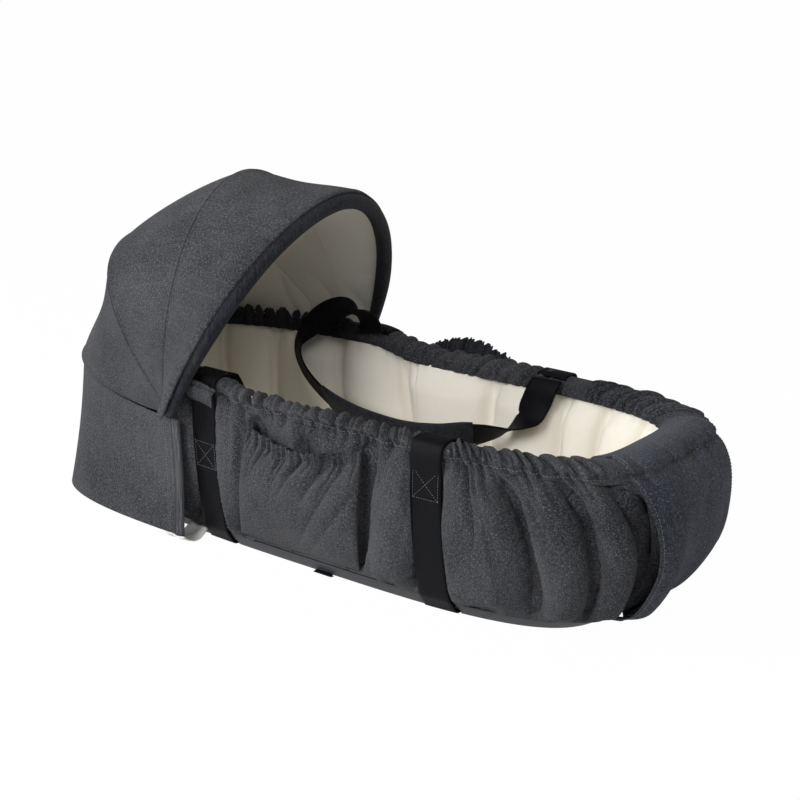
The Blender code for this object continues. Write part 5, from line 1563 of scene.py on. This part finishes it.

# %% [markdown]
# Each handle is a loop of the same webbing with a denim sleeve round its middle. It lies in the nest as it fell, turned
# on edge along the lining. A row of a loop is a point, seen from the hinge (place along X, way inwards and height), and
# the direction of the webbing's width there. The webbing bends at the rim.

# %% Handles
HINGE_Y = SLING_INNER_Y - 0.0100 - 0.0027
HINGE_Z = WALL_TOP + 0.017 * 0.55 + 0.0011 * 0.35 - 0.0024 + WEB_THICKNESS
FAR_LOOP = (
    (0.174, 0.0006, -0.0011, 1, 0, 0),
    (0.174, 0.0042, -0.0035, 1, 0, 0),
    (0.172, 0.0090, -0.0130, 1, 0, 0),
    (0.166, 0.0125, -0.0300, 1, 0, 0),
    (0.160, 0.0200, -0.0470, 1, 0.15, 0.15),
    (0.147, 0.0420, -0.0590, 0.8, 0.4, 0.5),
    (0.122, 0.0720, -0.0600, 0.3, 0.4, 0.8),
    (0.090, 0.0900, -0.0660, 0, 0.5, 1),
    (0.028, 0.0871, -0.0730, 0, 0.5, 1),
    (-0.042, 0.0761, -0.0730, 0, 0.5, 1),
    (-0.107, 0.0591, -0.0620, 0.1, 0.6, 0.9),
    (-0.160, 0.0420, -0.0385, 0.5, 0.6, 0.7),
    (-0.178, 0.0300, -0.0105, 0.8, 0.5, 0.3),
    (-0.158, 0.0210, 0.0180, 0.95, 0.3, -0.2),
    (-0.120, 0.0140, 0.0360, 1, 0.1, -0.3),
    (-0.090, 0.0050, 0.0280, 1, 0, 0),
    (-0.085, -0.0002, 0.0110, 1, 0, 0),
)
NEAR_LOOP = (
    (0.203, 0.0006, -0.0011, 1, 0, 0),
    (0.203, 0.0042, -0.0035, 1, 0, 0),
    (0.200, 0.0100, -0.0140, 1, 0, 0),
    (0.191, 0.0165, -0.0375, 1, 0, 0.1),
    (0.175, 0.0250, -0.0595, 0.8, 0.1, 0.6),
    (0.141, 0.0330, -0.0705, 0.3, 0.2, 0.9),
    (0.093, 0.0370, -0.0745, 0, 0.2, 1),
    (0.038, 0.0370, -0.0755, 0, 0.2, 1),
    (-0.022, 0.0350, -0.0745, 0, 0.2, 1),
    (-0.066, 0.0320, -0.0700, -0.3, 0.2, 0.9),
    (-0.092, 0.0260, -0.0560, -0.8, 0.1, 0.6),
    (-0.106, 0.0180, -0.0310, 1, 0, -0.1),
    (-0.111, 0.0105, -0.0050, 1, 0, 0),
    (-0.112, 0.0042, 0.0075, 1, 0, 0),
    (-0.112, 0.0004, 0.0110, 1, 0, 0),
)
STEPS = 14
SLEEVE_HALF_WIDTH = 0.0225
SLEEVE_HALF_DEPTH = 0.0030
SLEEVE_CORNERS = 28


def loop_frame(loop, side):
    """The middle line of a loop, with the directions of its width and of its thickness."""
    knots = np.array(loop, float)
    points = np.stack([knots[:, 0], side * (HINGE_Y - knots[:, 1]), HINGE_Z + knots[:, 2]], -1)
    wide = unit(np.stack([knots[:, 3], -side * knots[:, 4], knots[:, 5]], -1))
    for k in range(1, len(wide)):
        if wide[k] @ wide[k - 1] < 0:
            wide[k] *= -1
    path, wide = through(points, STEPS), through(wide, STEPS)
    along = unit(np.gradient(path, axis=0))
    wide = unit(wide - along * (wide * along).sum(1, keepdims=True))
    return path, wide, np.cross(along, wide)


def sleeve_rings(path, wide, up, first, last):
    """Sections of the denim sleeve between two knots of the loop, a little uneven, and closer at its ends."""
    a, b = first * STEPS, last * STEPS + 1
    steps = np.arange(b - a)
    turn = turns(SLEEVE_CORNERS)
    ends = ease(0, 5, steps) * ease(0, 5, steps[::-1])
    crease = gathers(steps * 0.0012, 0.014, 61, ring=False) * 0.0004
    half_wide = SLEEVE_HALF_WIDTH + 0.0006 * np.sin(steps * 0.21)
    half_deep = SLEEVE_HALF_DEPTH + 0.0014 * ends + crease
    section = (
        wide[a:b, None] * (half_wide[:, None] * signed_power(np.cos(turn), 0.62))[..., None]
        + up[a:b, None] * (half_deep[:, None] * signed_power(np.sin(turn), 0.72))[..., None]
    )
    return path[a:b, None] + section


def handle(label, side, loop, first, last):
    path, wide, up = loop_frame(loop, side)
    across = ACROSS[None, :, None]
    bow = 0.0005 * (1 - (across / (WEB_WIDTH / 2)) ** 2)
    face = path[:, None] + wide[:, None] * across + up[:, None] * (WEB_THICKNESS / 2 + bow)
    back = face - up[:, None] * WEB_THICKNESS
    body = label + "_handle"
    web = cloth(label + "_handle_web", face, WEBBING, back=back)
    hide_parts(label + "_handle_webbing")
    # The sleeve is in the darker denim, whose colour is painted shade.
    sleeve = ringed(label + "_grip_sleeve", sleeve_rings(path, wide, up, first, last), SHADED_DENIM)
    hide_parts(label + "_handle_grip")
    away = np.min([np.linalg.norm(points_of(web) - path[k], axis=1) for k in (0, -1)], 0)
    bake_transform(web)
    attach(sleeve, body)


handle("far", 1.0, FAR_LOOP, 6, 10)
handle("near", -1.0, NEAR_LOOP, 5, 8)

# %% [markdown]
# Small sewn pieces finish the edges: a denim keeper over each head strap, a rolled edge on the front of the skirt, a
# pale tab that ties the skirt's hem to the base, and a little loop of webbing under the base on each side.

# %% Keepers, rolled edges, tabs and loops
FAR_KEEPER_SHIFT = 0.024
KEEPER_LOW, KEEPER_TOP = 0.1650, 0.1900
STRIP_FROM, STRIP_TO = -0.166, -0.136
LOOP_FROM, LOOP_TO = 0.0330, 0.0575


def strap_keeper(label, side):
    u, v = shares(26, 14)
    shift = FAR_KEEPER_SHIFT if side > 0 else 0.0
    x = HEAD_LEG_X + mix(-0.0255, mix(0.0160, 0.0262, v), u) + shift
    z = mix(KEEPER_LOW, KEEPER_TOP, v) + 0 * u - 0.004 * (u - 0.5)
    strap_under = 1 - ease(0.0185, 0.0225, np.abs(x - HEAD_LEG_X - shift))
    lift = 0.0010 + 0.0027 * strap_under + 0.0004 * np.sin(u * 9 + v * 4)
    grid = head_rise(on_wall(x, z, side, lift + 0.0110 * ease(0.160, 0.182, z)))
    keeper = cloth(label + "_strap_keeper", grid, DENIM, 0.0018, outward=-side)
    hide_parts(label + "_keeper")
    return keeper


def skirt_edge(label, side):
    v = np.linspace(0, 1, 60)
    height = mix(SKIRT_LOW + 0.0003, PIVOT[2] - 0.0038, v)
    width = mix(HEM[2], BAND[2], v) - SKIRT_HOLLOW * hump(v)
    path = np.stack([np.full(60, SKIRT_FRONT_X + 0.0052), side * (width - 0.0012), height], -1)
    roll = swept(label + "_skirt_edge", path, np.array((1.0, 0.0, 0.0)), 0.0058, 0.0027, DENIM, 18, 0.8)
    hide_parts(label + "_skirt_binding")
    return roll


def hem_strip(label, side):
    v = shares(12, 20)[1]
    x = np.linspace(STRIP_FROM, STRIP_TO, 12)[None, :]
    z = 0.0108 - 0.0088 * hump(v) ** 0.8 + 0.0008 * np.sin(x * 300 + v * 5)
    grid = np.stack(np.broadcast_arrays(x, side * mix(0.1280, 0.1665, v), z), -1)
    tab = cloth(label + "_hem_strip", grid, PALE, 0.0014, outward=side)
    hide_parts(label + "_hem_tab")
    area_of(grid) / 0.030
    return tab


def under_loop(label, side):
    v = shares(10, 18)[1]
    edge = float(half_width(band_shape(0.0019), 0.046)) + 0.0004
    x = np.linspace(LOOP_FROM, LOOP_TO, 10)[None, :]
    z = 0.0006 + 0.0026 * (0.5 - 0.5 * np.cos(math.pi * v))
    grid = np.stack(np.broadcast_arrays(x, side * (edge + 0.0062 * hump(v) ** 0.7), z), -1)
    loop = cloth(label + "_under_loop", grid, WEBBING, 0.0004, outward=-side)
    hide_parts(label + "_base_loop")
    area_of(grid) / 0.0245
    return loop


for label, side in SIDES:
    for make in (strap_keeper, skirt_edge, hem_strip, under_loop):
        item = make(label, side)
        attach(item, "nest")
        print(item.name, "sewn on")

# %% [markdown]
# The hard parts stay as the solids have them: they only get their finishes. The wires are sprung steel, the brackets
# moulded plastic, the pins steel, the board hardboard.

# %% Finishes of the hard parts
HARD = {
    "mid_wire": STEEL, "front_wire": STEEL, "near_hood_pin": STEEL, "far_hood_pin": STEEL,
    "near_hood_bracket": PLASTIC, "far_hood_bracket": PLASTIC, "base_board": BOARD,
}
for node_name, finish in HARD.items():
    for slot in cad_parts[node_name].material_slots:
        slot.material = finish
print("hard parts finished:", len(HARD))

# %% [markdown]
# Stitches are made by Geometry Nodes: a line becomes a curve, the curve is cut into even steps, and one small
# rounded stitch is set on each step along the thread. The tree has named inputs for its sizes, and a seed for the
# slight unevenness of real sewing.

# %% Stitch tree
UNEVEN_TURN = 0.10


def stitch_inputs(face):
    face.new_socket(name="Line", in_out="INPUT", socket_type="NodeSocketGeometry")
    for name, default in (("Pitch", 0.0036), ("Stitch Length", 0.0026), ("Thread Radius", 0.0003)):
        face.new_socket(name=name, in_out="INPUT", socket_type="NodeSocketFloat").default_value = default
    face.new_socket(name="Seed", in_out="INPUT", socket_type="NodeSocketInt").default_value = 5
    face.new_socket(name="Thread", in_out="INPUT", socket_type="NodeSocketMaterial")
    face.new_socket(name="Stitches", in_out="OUTPUT", socket_type="NodeSocketGeometry")


def stitch_tree():
    tree = bpy.data.node_groups.new("running_stitch", "GeometryNodeTree")
    stitch_inputs(tree.interface)

    def add(kind, **settings):
        made = tree.nodes.new(kind)
        for key, value in settings.items():
            setattr(made, key, value)
        return made

    start, end = add("NodeGroupInput").outputs, add("NodeGroupOutput")
    curve = add("GeometryNodeMeshToCurve")
    cut = add("GeometryNodeResampleCurve")
    if "Mode" in cut.inputs:
        cut.inputs["Mode"].default_value = "Length"
    else:
        cut.mode = "LENGTH"
    tangent = add("GeometryNodeInputTangent")
    turn = add("FunctionNodeAlignRotationToVector", axis="X")
    jitter = add("FunctionNodeRandomValue", data_type="FLOAT")
    jitter.inputs[2].default_value, jitter.inputs[3].default_value = -UNEVEN_TURN, UNEVEN_TURN
    twist = add("FunctionNodeRotateRotation", rotation_space="LOCAL")
    angle = add("FunctionNodeEulerToRotation")
    pack = add("ShaderNodeCombineXYZ")
    bead = add("GeometryNodeMeshIcoSphere")
    bead.inputs["Radius"].default_value = 1.0
    bead.inputs["Subdivisions"].default_value = 1
    size = add("ShaderNodeCombineXYZ")
    half = add("ShaderNodeMath", operation="MULTIPLY")
    half.inputs[1].default_value = 0.5
    place = add("GeometryNodeInstanceOnPoints")
    real = add("GeometryNodeRealizeInstances")
    smooth = add("GeometryNodeSetShadeSmooth")
    colour = add("GeometryNodeSetMaterial")
    for source, node, socket in (
        (start["Line"], curve, 0),
        (curve.outputs[0], cut, "Curve"),
        (start["Pitch"], cut, "Length"),
        (tangent.outputs[0], turn, "Vector"),
        (start["Seed"], jitter, "Seed"),
        (jitter.outputs[1], pack, 2),
        (pack.outputs[0], angle, 0),
        (turn.outputs[0], twist, 0),
        (angle.outputs[0], twist, 1),
        (start["Stitch Length"], half, 0),
        (half.outputs[0], size, 0),
        (start["Thread Radius"], size, 1),
        (start["Thread Radius"], size, 2),
        (cut.outputs[0], place, "Points"),
        (bead.outputs[0], place, "Instance"),
        (twist.outputs[0], place, "Rotation"),
        (size.outputs[0], place, "Scale"),
        (place.outputs[0], real, 0),
        (real.outputs[0], smooth, 0),
        (smooth.outputs[0], colour, 0),
        (start["Thread"], colour, "Material"),
        (colour.outputs[0], end, 0),
    ):
        tree.links.new(source, node.inputs[socket])
    return tree


STITCHES = stitch_tree()


def stitched(name, lines, thread, body, pitch=0.0036, length=0.0026, radius=0.00030, seed=5):
    """One mesh of stitches along several lines of points."""
    points = np.concatenate(lines)
    edges, base = [], 0
    for line in lines:
        edges += [(base + k, base + k + 1) for k in range(len(line) - 1)]
        base += len(line)
    mesh = bpy.data.meshes.new(name + "_line")
    mesh.from_pydata(points.tolist(), edges, [])
    line_object = placed(name + "_line", mesh)
    sewing = line_object.modifiers.new("sewing", "NODES")
    sewing.node_group = STITCHES
    wanted = {"Pitch": pitch, "Stitch Length": length, "Thread Radius": radius, "Seed": seed, "Thread": thread}
    for item in STITCHES.interface.items_tree:
        if item.in_out == "INPUT" and item.name in wanted:
            sewing[item.identifier] = wanted[item.name]
    shown = line_object.evaluated_get(bpy.context.evaluated_depsgraph_get())
    made_mesh = bpy.data.meshes.new_from_object(shown)
    bpy.data.objects.remove(line_object)
    bpy.data.meshes.remove(mesh)
    made_mesh.name = name
    if not made_mesh.materials:
        made_mesh.materials.append(thread)
    made = placed(name, made_mesh)
    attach(made, body)
    print(name, ":", len(made_mesh.polygons) // 20, "stitches")


# %% Sewing lines
THREAD_LIFT = 0.0003
BOX_INSET = 0.0035


def split_by(line, keep):
    """The stretches of a line that are kept, as separate lines."""
    edges = np.flatnonzero(np.diff(np.concatenate([[0], keep.astype(int), [0]])))
    return [line[a:b] for a, b in zip(edges[0::2], edges[1::2]) if b - a > 3]


def rim_line(row):
    """A row of the rim's ruffle, just off its face, where neither cover nor strap lies over it."""
    line = RUFFLE[row] + normals_of(RUFFLE, True)[row] * THREAD_LIFT
    clear = (along_wall(wall_columns(RIM_PITCH)[0]) > CAP_EDGE_TOP + 0.002) & (from_strap(line[:, 0]) > 0.0195)
    return split_by(line, clear)


def strap_box(x, side, z_high, z_low):
    """The sewn box with a cross that holds a handle's end to its strap: lines just off the strap's face."""
    left, right = x - WEB_WIDTH / 2 + BOX_INSET, x + WEB_WIDTH / 2 - BOX_INSET
    corners = [(left, z_high), (right, z_high), (right, z_low), (left, z_low), (left, z_high)]
    lines = []
    for path in (corners, [(left, z_high), (right, z_low)], [(right, z_high), (left, z_low)]):
        path = np.array(path)
        run = np.linspace(0, len(path) - 1, 40 * (len(path) - 1))
        px, pz = (np.interp(run, np.arange(len(path)), path[:, k]) for k in (0, 1))
        lines.append(on_wall(px, pz, side, STRAP_LIFT + WEB_THICKNESS + THREAD_LIFT))
    return lines


stitched("rim_stitches", rim_line(2), THREAD, "nest")
skirt_face = (SKIRT - normals_of(SKIRT) * THREAD_LIFT)[2:-2]
for label, side in SIDES:
    boxes = strap_box(FOOT_LEG_X, side, 0.1655, 0.1345) + strap_box(HEAD_LEG_X, side, 0.128, 0.098)
    stitched(label + "_strap_stitches", boxes, THREAD, "nest", 0.0030, 0.0022, 0.00026, 7)
    columns = (3, 4) if side < 0 else (-4, -5)
    stitched(label + "_skirt_stitches", [skirt_face[:, k] for k in columns], THREAD, "nest", seed=9)

for label, shape, body in (("front", FRONT, "hood_front"), ("mid", MID, "hood_mid"), ("rear", REAR, "hood_rear")):
    lifted = (shape[0], shape[1] + (0.0020 if label == "front" else THREAD_LIFT), shape[2] + 0.0008, shape[3])
    line = arch(lifted, arch_steps(lifted, 0.010, np.linspace(0, 1, 300)), 0.0075 if label == "front" else 0.0036)
    stitched(label + "_hood_stitches", [line], BLACK_THREAD, body, seed=11)
cover_face = (CAP + normals_of(CAP) * THREAD_LIFT)[CAP_ROWS[:, 0] < 0.5][2:]
for label, k in (("near", 3), ("far", -4)):
    stitched(label + "_cover_stitches", [cover_face[:, k]], THREAD, "nest", seed=13)
print("sewing done")
